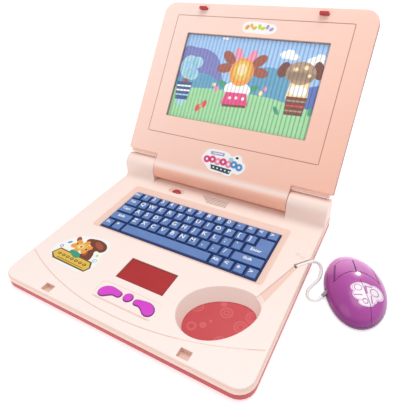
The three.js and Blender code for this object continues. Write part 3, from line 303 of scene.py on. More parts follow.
def moulded(name, colour, *, roughness=0.38, vary=0.06, grain=0.05):
    # injection-moulded plastic: fine spark-eroded grain, faint flow marks, uneven gloss
    surface = Surface(name, IOR=1.46, Coat_Roughness=0.12)
    base = screenColour(*colour)
    flow = surface.noise(14, detail=3)
    cloud = surface.noise(55, detail=4, roughness=0.6)
    dark = tuple(c * (1 - vary) for c in base)
    light = tuple(min(1, c * (1 + vary * 0.5)) for c in base)
    surface.feed("Base Color", surface.mix(flow * 0.7 + cloud * 0.3, dark, light))
    smudge = surface.noise(90, detail=5, roughness=0.65)
    surface.feed("Roughness", roughness - 0.06 + smudge * 0.14)
    surface.bump(surface.noise(2600, detail=2), strength=grain, distance=0.0001)
    return surface


# the round hollow beside the keys: places and sizes in mm
bay = {"middle": (85, 58), "wallReach": 44.0, "floorReach": 46.0, "floorFrom": 2.5, "floorTo": 6}


def within(x, y, middle, reach):
    return ((x - middle[0]) ** 2.0 + (y - middle[1]) ** 2.0) < reach**2


def redShellFinish():
    # red shell with faint moulded rings on the floor of the mouse bay
    surface = Surface("redShellPlastic", IOR=1.46)
    x, y, z = surface.axes(basePlace)
    cloud = surface.noise(50, detail=4)
    near = surface.node("TexVoronoi", inputs={"Vector": surface.spot(), "Scale": 62, "Randomness": 0.7})
    inBay = within(x, y, bay["middle"], bay["floorReach"]) * (z > bay["floorFrom"]) * (z < bay["floorTo"])
    rings = (((near - 0.36).size() < 0.045) + ((near - 0.2).size() < 0.03)).clamp() * inBay
    red = surface.mix(cloud, screenColour(182, 48, 58), screenColour(196, 58, 68))
    red = surface.mix(inBay * 0.35, red, screenColour(220, 92, 96))
    surface.feed("Base Color", surface.mix(rings * 0.3, red, screenColour(232, 128, 128)))
    surface.feed("Roughness", 0.3 + cloud * 0.12)
    surface.bump(rings + surface.noise(2400) * 0.2, strength=0.12, distance=0.0003)
    return surface


plastics = {
    "redPlastic": moulded("redPlastic", (188, 52, 62), roughness=0.34),
    "speakerPlastic": moulded("speakerPlastic", (190, 150, 138), roughness=0.6, grain=0.3),
    "greyPlastic": moulded("greyPlastic", (150, 152, 156), roughness=0.5),
    "blackPlastic": moulded("blackPlastic", (38, 40, 46), roughness=0.5),
    "boardLaminate": moulded("boardLaminate", (40, 110, 66), roughness=0.4, vary=0.2),
    "pictureCard": moulded("pictureCard", (232, 236, 240), roughness=0.6, vary=0.05, grain=0.12),
    "feetRubber": moulded("feetRubber", (58, 59, 62), roughness=0.8, grain=0.3),
    "reliefVinyl": moulded("reliefVinyl", (150, 150, 152), roughness=0.45),
}


def shellFinish(surface, colour, flow):
    # what both pale shells share: faint flow, uneven gloss and a fine grain
    surface.feed("Base Color", colour)
    smudge = surface.noise(90, detail=5, roughness=0.65)
    surface.feed("Roughness", 0.38 + smudge * 0.1 + flow * 0.04)
    surface.bump(surface.noise(2600), strength=0.05, distance=0.0001)
    return surface


deckMarks = {
    "depth": 240,
    "tray": ((1.0, 32.5), (36.4, 9.6)),  # middle and half size of the shallow step round the three buttons
    "trayStep": 0.75,
    "rings": [(125.5, 160), (131, 157.5)],  # small embossed rings beside the cord hole
    "ringRadius": 1.9,
    "ringLine": 0.35,
}


def deckFinish():
    # painted light: paler towards the front edge, with the raised hinge knuckles in a shaded peach; painted
    # shade in the recesses where the deck steps down and on two embossed rings
    surface = Surface("deckPlastic", IOR=1.46)
    x, y, z = surface.axes(basePlace)
    flow = surface.noise(14, detail=3)
    # painted light: the deck top pales from back to front
    back = (y / deckMarks["depth"] + flow * 0.16 - 0.08).clamp()
    top = surface.mix(back, screenColour(251, 236, 230), screenColour(246, 224, 214))
    (middleX, middleY), (halfX, halfY) = deckMarks["tray"]
    tray = ((x - middleX).size() < halfX) * ((y - middleY).size() < halfY)
    depth = (deckTop - 0.1) - z - tray * deckMarks["trayStep"]
    inBay = within(x, y, bay["middle"], bay["wallReach"])
    # painted shade on whatever lies below the deck top, weaker inside the mouse bay
    recessShade = (depth / 0.35).clamp() * (0.8 - inBay * 0.55)
    shell = surface.mix(recessShade, top, screenColour(237, 199, 183))
    # painted shade: raised parts such as the hinge knuckles turn a shaded peach
    raisedShade = ((z - deckTop - 0.6) / 3).clamp()
    shell = surface.mix(raisedShade, shell, screenColour(250, 225, 215))
    # painted shade: two embossed rings drawn only as darker lines
    rings = 0.0
    for centre in deckMarks["rings"]:
        away = ((x - centre[0]) ** 2.0 + (y - centre[1]) ** 2.0) ** 0.5
        rings = ((away - deckMarks["ringRadius"]).size() < deckMarks["ringLine"]) + rings
    onTop = (z - deckTop).size() < 0.4
    shell = surface.mix((rings * onTop).clamp() * 0.6, shell, screenColour(214, 170, 156))
    return shellFinish(surface, shell, flow)


# in the lid's own frame: x from its middle, y up from the hinge axis
lidMarks = {
    "barrelHalf": 92.4,
    "barrelHighlight": 4.5,
    "lipFrom": 93,
    "lipTop": 17.2,
    "grooveHalf": 118,
    "grooveFrom": 40,
    "grooveTo": 212,
    "flankFrom": 139.3,
    "flankLow": 18,
}


def lidFinish():
    # peach, with painted light: paler towards its top left, a painted highlight over the hinge barrel, and
    # painted shade under the barrel, on the lip, in the grooves and down the side walls
    surface = Surface("lidPlastic", IOR=1.46)
    x, y, z = surface.axes(lidPlace)
    flow = surface.noise(14, detail=3)
    # painted shade: from its top left the lid darkens to orange towards the lower right
    shadeFade = (x / 460 - y / 430 + 0.72 + flow * 0.12).clamp()
    shell = surface.mix(shadeFade, screenColour(251, 222, 211), screenColour(249, 194, 173))
    # painted highlight along the top of the hinge barrel
    roll = (1.0 - (y - lidMarks["barrelHighlight"]).size() / 6.5).clamp() * (x.size() < lidMarks["barrelHalf"])
    shell = surface.mix(roll, shell, screenColour(255, 232, 222))
    # painted shade under the barrel, below the hinge axis
    under = ((1.5 - y) / 3.5).clamp()
    shell = surface.mix(under, shell, screenColour(252, 190, 164))
    # painted shade on the lip sunk behind the face beside the hubs
    lipShade = (y < lidMarks["lipTop"]) * (z < lidFace - 2) * (x.size() > lidMarks["lipFrom"])
    shell = surface.mix(lipShade * 0.9, shell, screenColour(252, 206, 188))
    # painted shade on every face sunk below the lid's face round the screen
    frameZone = (z < lidFace - 0.16) * (y > lidMarks["grooveFrom"])
    grooveShade = frameZone * (x.size() < lidMarks["grooveHalf"]) * (y < lidMarks["grooveTo"])
    shell = surface.mix(grooveShade * 0.6, shell, screenColour(142, 92, 80))
    # painted shade down the lid's side walls
    flankShade = (x.size() > lidMarks["flankFrom"]) * (z < lidFace - 1.5) * (y > lidMarks["flankLow"])
    shell = surface.mix(flankShade * 0.9, shell, screenColour(96, 52, 66))
    return shellFinish(surface, shell, flow)


def nearEdge(along, middle, half, soft):
    # 0 inside, rising to 1 over a soft margin at the edge of a span
    return (((along - middle).size() - half) / soft).clamp()


padMarks = {"middle": (0.7, 64.95), "half": (27.2, 13.3), "soft": 0.9}


def padFinish():
    # fine-textured red panel, with painted shade along its edges where it sits sunk in the deck
    surface = Surface("padPlastic", IOR=1.46)
    x, y, _ = surface.axes(basePlace)
    edgeX = nearEdge(x, padMarks["middle"][0], padMarks["half"][0], padMarks["soft"])
    edge = edgeX.largest(nearEdge(y, padMarks["middle"][1], padMarks["half"][1], padMarks["soft"]))
    cloud = surface.noise(60, detail=4)
    panel = surface.mix(cloud, screenColour(160, 24, 30), screenColour(184, 36, 40))
    # painted shade along the panel's edges
    surface.feed("Base Color", surface.mix(edge, panel, screenColour(96, 12, 20)))
    surface.feed("Roughness", 0.42 + cloud * 0.12)
    surface.bump(surface.noise(1500, detail=3), strength=0.18, distance=0.0001)
    return surface


def magentaFinish():
    # bright caps, with painted shade on their sides below the deck
    surface = Surface("magentaPlastic", IOR=1.46)
    _, _, z = surface.axes(basePlace)
    cloud = surface.noise(70, detail=4)
    # painted shade: the sides darken below the deck
    face = ((z - deckTop - 0.1) / 0.4).clamp()
    cap = surface.mix(cloud, screenColour(208, 56, 198), screenColour(222, 74, 212))
    surface.feed("Base Color", surface.mix(face, screenColour(140, 44, 146), cap))
    surface.feed("Roughness", 0.26 + cloud * 0.1)
    surface.bump(surface.noise(2000), strength=0.04, distance=0.0001)
    return surface


def keyFinish():
    # blue caps, their tops uneven in tone and gloss, with painted shade making their sides darker than the
    # tops
    surface = Surface("keyPlastic", IOR=1.46)
    _, _, z = surface.axes(Matrix.Translation((0, 0, deckTop * mm)))
    # painted shade down the sides of the caps
    face = ((z + 1.5) / 1.1).clamp()
    worn = surface.noise(120, detail=4)
    top = surface.mix(worn, screenColour(86, 120, 180), screenColour(104, 138, 196))
    surface.feed("Base Color", surface.mix(face, screenColour(44, 70, 128), top))
    surface.feed("Roughness", 0.42 - face * 0.1 + worn * 0.1)
    surface.bump(surface.noise(2400), strength=0.06, distance=0.0001)
    return surface


def brushedSteel():
    # plated steel with streaks across its length
    surface = Surface("platedSteel", Metallic=1.0)
    streak = surface.node("Mapping", inputs={0: surface.spot(), 3: (60, 2500, 2500)})
    line = surface.noise(1, detail=3, spot=streak)
    surface.feed("Base Color", surface.mix(line, screenColour(150, 152, 156), screenColour(205, 207, 210)))
    surface.feed("Roughness", 0.22 + line * 0.25)
    surface.bump(line, strength=0.1, distance=0.0001)
    return surface


def cellSleeve():
    # printed foil round an AAA cell, dark with a copper-coloured band
    surface = Surface("cellSleeve", IOR=1.5)
    x, _, _ = surface.axes(Matrix.Translation(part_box("battery_cell_2")[0]))
    bandFrom, bandTo = 32.0, 43.0
    band = (x > bandFrom) * (x < bandTo)
    surface.feed("Base Color", surface.mix(band, screenColour(34, 38, 48), screenColour(196, 120, 60)))
    surface.feed("Metallic", 0.4 + band * 0.5)
    surface.feed("Roughness", 0.28 + surface.noise(300) * 0.15)
    return surface


# in the mouse's own frame: u to its right, n towards its buttons
mousePrint = {
    "puffs": [
        ((3, -11), (11, 6)), ((14, -14), (8, 7.5)), ((0, -18), (7, 6)), ((4, -25.5), (7, 3.4)),
        ((9, -20), (6, 6)),
    ],
    "rings": [((-1, -11), 3.2), ((13, -14.5), 3.6), ((3.5, -24), 2.2)],
    "ringLine": 0.42,
    "bars": [
        ((5.6, -12.6), (1.1, 4.2)), ((8.4, -9.4), (3.4, 0.55)), ((-2, -18.6), (3.6, 0.6)),
        ((9.4, -21.6), (0.6, 3.6)),
    ],
    "seam": [(2.3, -1.9), (5.2, -16.7), (7.6, -26.9), (7.5, -41)],
    "seamLine": 0.34,
    "lens": (1.2, 5.4),
    "halo": 7.5,
    "buttonHalf": 20.6,
    "buttonBack": 8.4,
    "buttonLine": 0.5,
}


def mouseFinish():
    # glossy purple with a seam along its back and a pale generic print; painted shade low down and towards its
    # rear left, a painted highlight on its front and a painted glow round the lens
    surface = Surface("mousePlastic", IOR=1.42, Coat_Roughness=0.08)
    u, n, z = surface.axes(mousePlace)

    def away(centre):
        return ((u - centre[0]) ** 2.0 + (n - centre[1]) ** 2.0) ** 0.5

    inside = None
    for (cu, cn), (ru, rn) in mousePrint["puffs"]:
        field = ((u - cu) / ru) ** 2.0 + ((n - cn) / rn) ** 2.0
        inside = field if inside is None else field.smallest(inside)
    white = ((1.0 - inside) * 6.0).clamp() * (z > 8)
    marks = (inside - 0.7).size() < 0.045
    for centre, radius in mousePrint["rings"]:
        marks = marks.largest((away(centre) - radius).size() < mousePrint["ringLine"])
    for (cu, cn), (hu, hn) in mousePrint["bars"]:
        marks = marks.largest(((u - cu).size() < hu) * ((n - cn).size() < hn))
    seam = None
    for (u0, n0), (u1, n1) in zip(mousePrint["seam"], mousePrint["seam"][1:]):
        slope = (u1 - u0) / (n1 - n0)
        onLine = (u - (n - n0) * slope - u0).size() < mousePrint["seamLine"]
        piece = onLine * (n < n0) * (n > n1)
        seam = piece if seam is None else seam.largest(piece)
    flow = surface.noise(30, detail=3)
    purple = surface.mix(flow, screenColour(166, 66, 150), screenColour(190, 90, 176))
    # painted shade low down on the mouse
    low = ((12.5 - z) / 11).clamp()
    purple = surface.mix(low, purple, screenColour(96, 22, 90))
    # painted shade on the side away from the light
    rearLeftShade = ((0.0 - u * 0.7 - n * 0.35 - 6) / 34).clamp()
    purple = surface.mix(rearLeftShade, purple, screenColour(120, 26, 108))
    # painted highlight over the front of the mouse's top
    front = ((u * 0.3 + n * 0.7 + 2) / 24).clamp() * (z > 9)
    purple = surface.mix(front * 0.85, purple, screenColour(238, 170, 226))
    printed = surface.mix(white * (1.0 - marks * 0.85), purple, screenColour(246, 236, 244))
    # painted light: a glow from the lens spread over the shell
    lensGlowSpill = (1.0 - away(mousePrint["lens"]) / mousePrint["halo"]).clamp() ** 2.0 * (z > 15)
    printed = surface.mix(lensGlowSpill * 0.8, printed, screenColour(255, 226, 246))
    half, line = mousePrint["buttonHalf"], mousePrint["buttonLine"]
    rear = (n - mousePrint["buttonBack"] + (u / half) ** 2.0 * 10.0).size() < line
    side = (u.size() - half + (n + 1.6) * 0.16).size() < line
    edge = (rear * (u.size() < 20.9)).largest(side * (n > -2) * (n < 21)) * (z > 8)
    printed = surface.mix(edge * 0.75, printed, screenColour(84, 22, 78))
    surface.feed("Base Color", surface.mix(seam * (z > 5) * 0.8, printed, screenColour(92, 28, 86)))
    surface.feed("Roughness", 0.2 + surface.noise(150, detail=4) * 0.1 + white * 0.1)
    surface.feed("Coat Weight", 0.1 + flow * 0.15)
    surface.bump(surface.noise(1800) * 0.15 - seam, strength=0.12, distance=0.0003)
    return surface


windowMarks = {"ribs": 36, "hidden": 6, "firstRib": 94.6, "middle": 127.7, "half": (93.2, 55.8), "soft": 0.8}


def windowFinish():
    # clear cover, with painted shade as fine grey lines in the valleys between its upright ribs and round its
    # rim
    surface = Surface("ribbedWindow", IOR=1.3, Roughness=0.25)
    x, y, _ = surface.axes(lidPlace)
    low, high = (corner.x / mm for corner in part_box("screen_picture"))
    pitch = (high - low - windowMarks["hidden"]) / windowMarks["ribs"]
    wave = ((x + windowMarks["firstRib"]) * (2 * math.pi / pitch)).sine()
    # painted shade in each rib valley
    grooveShade = ((0.0 - wave) - 0.35).clamp() * 1.5
    halfX, halfY = windowMarks["half"]
    edgeX = ((x.size() - halfX) / windowMarks["soft"]).clamp()
    # painted shade round the window's rim
    rimShade = edgeX.largest(nearEdge(y, windowMarks["middle"], halfY, windowMarks["soft"]))
    line = grooveShade.clamp().largest(rimShade)
    surface.feed("Base Color", surface.mix(line, screenColour(250, 252, 255), screenColour(70, 76, 92)))
    surface.feed("Alpha", 0.01 + line * 0.26 + surface.noise(60) * 0.03)
    return surface


def lensFinish():
    # milky lens that glows faintly
    surface = Surface("lensPlastic", Roughness=0.1, IOR=1.49)
    glow = surface.noise(400, detail=2)
    surface.feed("Base Color", surface.mix(glow, screenColour(255, 240, 248), screenColour(255, 214, 236)))
    surface.shader.inputs["Emission Strength"].default_value = 0.7
    surface.feed("Emission Color", surface.mix(glow, screenColour(255, 250, 252), screenColour(255, 226, 240)))
    return surface


finishes = {
    **plastics,
    "deckPlastic": deckFinish(),
    "redShellPlastic": redShellFinish(),
    "lidPlastic": lidFinish(),
    "padPlastic": padFinish(),
    "magentaPlastic": magentaFinish(),
    "keyPlastic": keyFinish(),
    "platedSteel": brushedSteel(),
    "cellSleeve": cellSleeve(),
    "mousePlastic": mouseFinish(),
    "ribbedWindow": windowFinish(),
    "lensPlastic": lensFinish(),
}


def coat(piece, name):
    piece.data.materials.clear()
    piece.data.materials.append(finishes[name].material)


print("finishes mixed:", len(finishes))

# CAD pieces with their edges broken

edges = {
    "same": 0.005,  # corners nearer than this in mm are one
    "flat": 0.4,  # faces that meet at less than this in degrees are one
    "sharp": 32,
    "segments": 2,
}


def mergedCopy(name):
    # the node's own triangles joined into one skin
    source = frame["nodes"][name]
    piece = bpy.data.objects.new(name + "_moulded", source.data.copy())
    bpy.context.scene.collection.objects.link(piece)
    pick(piece)
    bpy.ops.mesh.customdata_custom_splitnormals_clear()
    bpy.ops.object.mode_set(mode="EDIT")
    bpy.ops.mesh.select_all(action="SELECT")
    bpy.ops.mesh.remove_doubles(threshold=edges["same"] * mm)
    bpy.ops.mesh.dissolve_limited(angle_limit=math.radians(edges["flat"]))
    bpy.ops.mesh.quads_convert_to_tris(quad_method="BEAUTY", ngon_method="BEAUTY")
    bpy.ops.mesh.tris_convert_to_quads(face_threshold=math.radians(1), shape_threshold=math.radians(60))
    bpy.ops.object.mode_set(mode="OBJECT")
    return piece


def brokenEdges(name, finish, width):
    # a small moulding radius on a node's sharp edges
    piece = mergedCopy(name)
    bevel = piece.modifiers.new("edges", "BEVEL")
    bevel.width = width * mm
    bevel.segments = edges["segments"]
    bevel.limit_method = "ANGLE"
    bevel.angle_limit = math.radians(edges["sharp"])
    bevel.use_clamp_overlap = False
    bpy.ops.object.modifier_apply(modifier="edges")
    bpy.ops.object.shade_smooth_by_angle(angle=math.radians(edges["sharp"]))
    weighted = piece.modifiers.new("normals", "WEIGHTED_NORMAL")
    weighted.keep_sharp = True
    bpy.ops.object.modifier_apply(modifier="normals")
    coat(piece, finish)
    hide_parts(name)
    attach(piece, frame["nodes"][name]["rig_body"])


# each node's finish, and the width of its edges in mm
mouldedNodes = {
    "base_top_shell": ("deckPlastic", 0.3),
    "base_bottom_shell": ("redShellPlastic", 0.3),
    "battery_door": ("redPlastic", 0.25),
    "lid_front_cover": ("lidPlastic", 0.3),
    "lid_back_cover": ("redPlastic", 0.3),
    "touchpad_panel": ("padPlastic", 0.2),
    "left_wing_button": ("magentaPlastic", 0.2),
    "right_wing_button": ("magentaPlastic", 0.2),
    "centre_button": ("magentaPlastic", 0.2),
    "power_switch_knob": ("redPlastic", 0.15),
    "latch_hook_left": ("redPlastic", 0.25),
    "latch_hook_right": ("redPlastic", 0.25),
    "mouse_top_shell": ("mousePlastic", 0.2),
    "mouse_bottom_shell": ("mousePlastic", 0.2),
    "mouse_left_button": ("mousePlastic", 0.2),
    "mouse_right_button": ("mousePlastic", 0.2),
}
keyRows = [
    "number_row_keys", "qwerty_row_keys", "home_row_keys", "shift_row_keys", "enter_key", "space_bar",
    "bottom_left_keys", "bottom_right_keys",
]
mouldedNodes.update({name: ("keyPlastic", 0.42) for name in keyRows})
for name, (finish, width) in mouldedNodes.items():
    brokenEdges(name, finish, width)
print("moulded pieces:", len(mouldedNodes))

# the rest keep their CAD mesh and take the finish whose words are in their names
plainFinishes = {
    "platedSteel": ["screw", "contact", "hinge_pin"],
    "cellSleeve": ["battery_cell"],
    "boardLaminate": ["board"],
    "pictureCard": ["screen_picture"],
    "blackPlastic": ["power_switch_body"],
    "speakerPlastic": ["speaker"],
    "greyPlastic": ["keyboard_tray", "screen_backing"],
    "feetRubber": ["rubber_foot", "keyboard_membrane"],
    "ribbedWindow": ["screen_window"],
    "lensPlastic": ["mouse_lens"],
    "reliefVinyl": ["mouse_strain_relief"],
}
for finish, words in plainFinishes.items():
    for name, node in frame["nodes"].items():
        if name not in mouldedNodes and any(word in name for word in words):
            coat(node, finish)

# cord

cordStyle = {
    "diameter": 3.6,
    "onTable": 1.9,  # height of its centre on the table
    "onDeck": deckTop - 1.7,
    # x from the base's right side, y, and how far up from the table to the deck
    "offDeck": [
        (-10.6, 144.6, 0.93), (-8.6, 146.9, 0.98), (-5.8, 150, 0.99), (-2.6, 153.6, 1), (1, 157.8, 0.98),
        (5, 161.6, 0.8), (8.8, 162.4, 0.51), (11.2, 159.4, 0.23), (11.8, 154.2, 0.05), (11.2, 148, 0),
        (9.4, 141.6, 0),
    ],
    # x, y and z
    "toMouse": [
        (7.4, 135.4, 1.9), (6.6, 129, 1.9), (8.6, 122.8, 1.9), (13.4, 120, 2.1), (17.8, 122.4, 2.9),
        (20.4, 127, 4.1),
    ],
    "slack": [(8, 160), (14, 126)],  # the stretch of cord between these two points
}


def cordFinish():
    # white vinyl, a little grey where it has been handled
    surface = Surface("cordVinyl", IOR=1.5)
    dirt = surface.noise(160, detail=4)
    surface.feed("Base Color", surface.mix(dirt, screenColour(236, 236, 236), screenColour(250, 250, 250)))
    surface.feed("Roughness", 0.3 + dirt * 0.15)
    surface.bump(surface.noise(900), strength=0.05, distance=0.0001)
    return surface


def routeCurve(points, radius):
    # one open spline through the points; with no radius it is only their centreline
    data = bpy.data.curves.new("mouseCord", "CURVE")
    data.dimensions = "3D"
    data.bevel_depth = radius
    data.bevel_resolution = 5
    data.resolution_u = 8
    data.use_fill_caps = True
    spline = data.splines.new("BEZIER")
    spline.bezier_points.add(len(points) - 1)
    for bead, point in zip(spline.bezier_points, points):
        bead.co = point
        bead.handle_left_type = bead.handle_right_type = "AUTO"
    curve = bpy.data.objects.new("mouseCord", data)
    bpy.context.scene.collection.objects.link(curve)
    pick(curve)
    bpy.ops.object.convert(target="MESH")
    return bpy.context.object


def addCord():
    low, high = cordStyle["onTable"], cordStyle["onDeck"]
    points = [at(sideX + x, y, low + rise * (high - low)) for x, y, rise in cordStyle["offDeck"]]
    points += [at(sideX + x, y, z) for x, y, z in cordStyle["toMouse"]]
    guide = routeCurve(points, 0)
    bpy.data.objects.remove(guide)
    cord = routeCurve(points, cordStyle["diameter"] / 2 * mm)
    bpy.ops.object.mode_set(mode="EDIT")
    bpy.ops.mesh.select_all(action="SELECT")
    bpy.ops.mesh.remove_doubles(threshold=0.01 * mm)
    bpy.ops.mesh.normals_make_consistent(inside=False)
    bpy.ops.object.mode_set(mode="OBJECT")
    bpy.ops.object.shade_smooth_by_angle(angle=math.radians(50))
    cord.data.materials.clear()
    cord.data.materials.append(cordFinish().material)
    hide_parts("mouse_cord")
    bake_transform(cord)


addCord()

# flat printed shapes

inks = {
    "paperWhite": (252, 252, 250), "inkOrange": (246, 160, 62), "inkCream": (255, 224, 170),
    "inkBrown": (118, 58, 36), "inkRust": (164, 84, 60), "inkGreen": (60, 158, 122),
    "inkYellow": (232, 192, 78), "inkUmber": (112, 84, 34), "inkBlue": (88, 150, 214),
    "inkPaleBlue": (166, 214, 228), "inkNavy": (44, 78, 138), "inkPurple": (172, 120, 200),
    "inkPink": (232, 60, 130), "inkRose": (244, 150, 176), "inkRed": (226, 70, 74),
    "inkTeal": (24, 66, 82), "inkLilac": (176, 160, 204), "inkTan": (176, 146, 120),
    "inkBlack": (40, 30, 34), "skyBlue": (160, 198, 240), "hillPurple": (122, 124, 190),
    "hillTeal": (92, 160, 194), "hillBlue": (84, 112, 184), "meadow": (156, 214, 156),
    "inkLime": (206, 220, 60),
}


def printFinish(name, glow=0.0):
    # gloss print in each shape's own ink: a faint dot screen and small changes of ink density
    surface = Surface(name, IOR=1.45, Emission_Strength=glow)
    ink = surface.node("Attribute", {"attribute_name": "ink"})
    dots = surface.node("TexVoronoi", inputs={"Scale": 1500})
    wash = surface.noise(200, detail=3)
    shade = surface.node("Mix", {"data_type": "RGBA", "blend_type": "MULTIPLY"}, {
        0: dots * 0.05 + wash * 0.12, 6: ink, 7: (0.2, 0.2, 0.2, 1),
    }, output=2)
    surface.feed("Base Color", shade)
    # with glow the inks emit light too: painted light that brightens the print
    if glow:
        surface.feed("Emission Color", shade)
    surface.feed("Roughness", 0.3 + wash * 0.15)
    surface.bump(dots, strength=0.03, distance=0.00005)
    return surface


finishes["stickerInk"] = printFinish("stickerInk")
# the screen picture's inks carry painted light, a faint glow
finishes["screenInk"] = printFinish("screenInk", glow=0.3)


def inkShape(kind, ink, height, spec):
    # one flat shape in its own plane: an oval, a smooth blob or a sharp patch
    if kind == "oval":
        (x, y), (rx, ry), *turn = spec
        bpy.ops.mesh.primitive_circle_add(vertices=40, radius=1, fill_type="NGON")
        shape = bpy.context.object
        shape.scale = (rx * mm, ry * mm, 1)
        shape.rotation_euler.z = math.radians(turn[0] if turn else 0)
        shape.location = (x * mm, y * mm, height * mm)
    else:
        data = bpy.data.curves.new("outline", "CURVE")
        data.dimensions = "2D"
        data.fill_mode = "BOTH"
        data.resolution_u = 6
        spline = data.splines.new("BEZIER")
        spline.bezier_points.add(len(spec) - 1)
        spline.use_cyclic_u = True
        for bead, (x, y) in zip(spline.bezier_points, spec):
            bead.co = (x * mm, y * mm, 0)
            bead.handle_left_type = bead.handle_right_type = "AUTO" if kind == "blob" else "VECTOR"
        shape = bpy.data.objects.new("outline", data)
        bpy.context.scene.collection.objects.link(shape)
        pick(shape)
        bpy.ops.object.convert(target="MESH")
        shape = bpy.context.object
        shape.location.z = height * mm
    pick(shape)
    bpy.ops.object.transform_apply(location=True, rotation=True, scale=True)
    colour = (*screenColour(*inks[ink]), 1)
    layer = shape.data.color_attributes.new("ink", "FLOAT_COLOR", "CORNER")
    layer.data.foreach_set("color", colour * len(layer.data))
    return shape


def artwork(name, place, body, layers, finish):
    # flat shapes joined into one piece and laid on its surface
    deselect()
    shapes = [inkShape(kind, ink, height, spec) for kind, ink, height, spec in layers]
    pick(*shapes)
    bpy.ops.object.join()
    piece = bpy.context.object
    piece.name = name
    coat(piece, finish)
    piece.data.transform(place)
    up = place.to_3x3() @ Vector((0, 0, 1))
    mesh = bmesh.new()
    mesh.from_mesh(piece.data)
    bmesh.ops.reverse_faces(mesh, faces=[face for face in mesh.faces if face.normal.dot(up) < 0])
    mesh.to_mesh(piece.data)
    mesh.free()
    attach(piece, body)


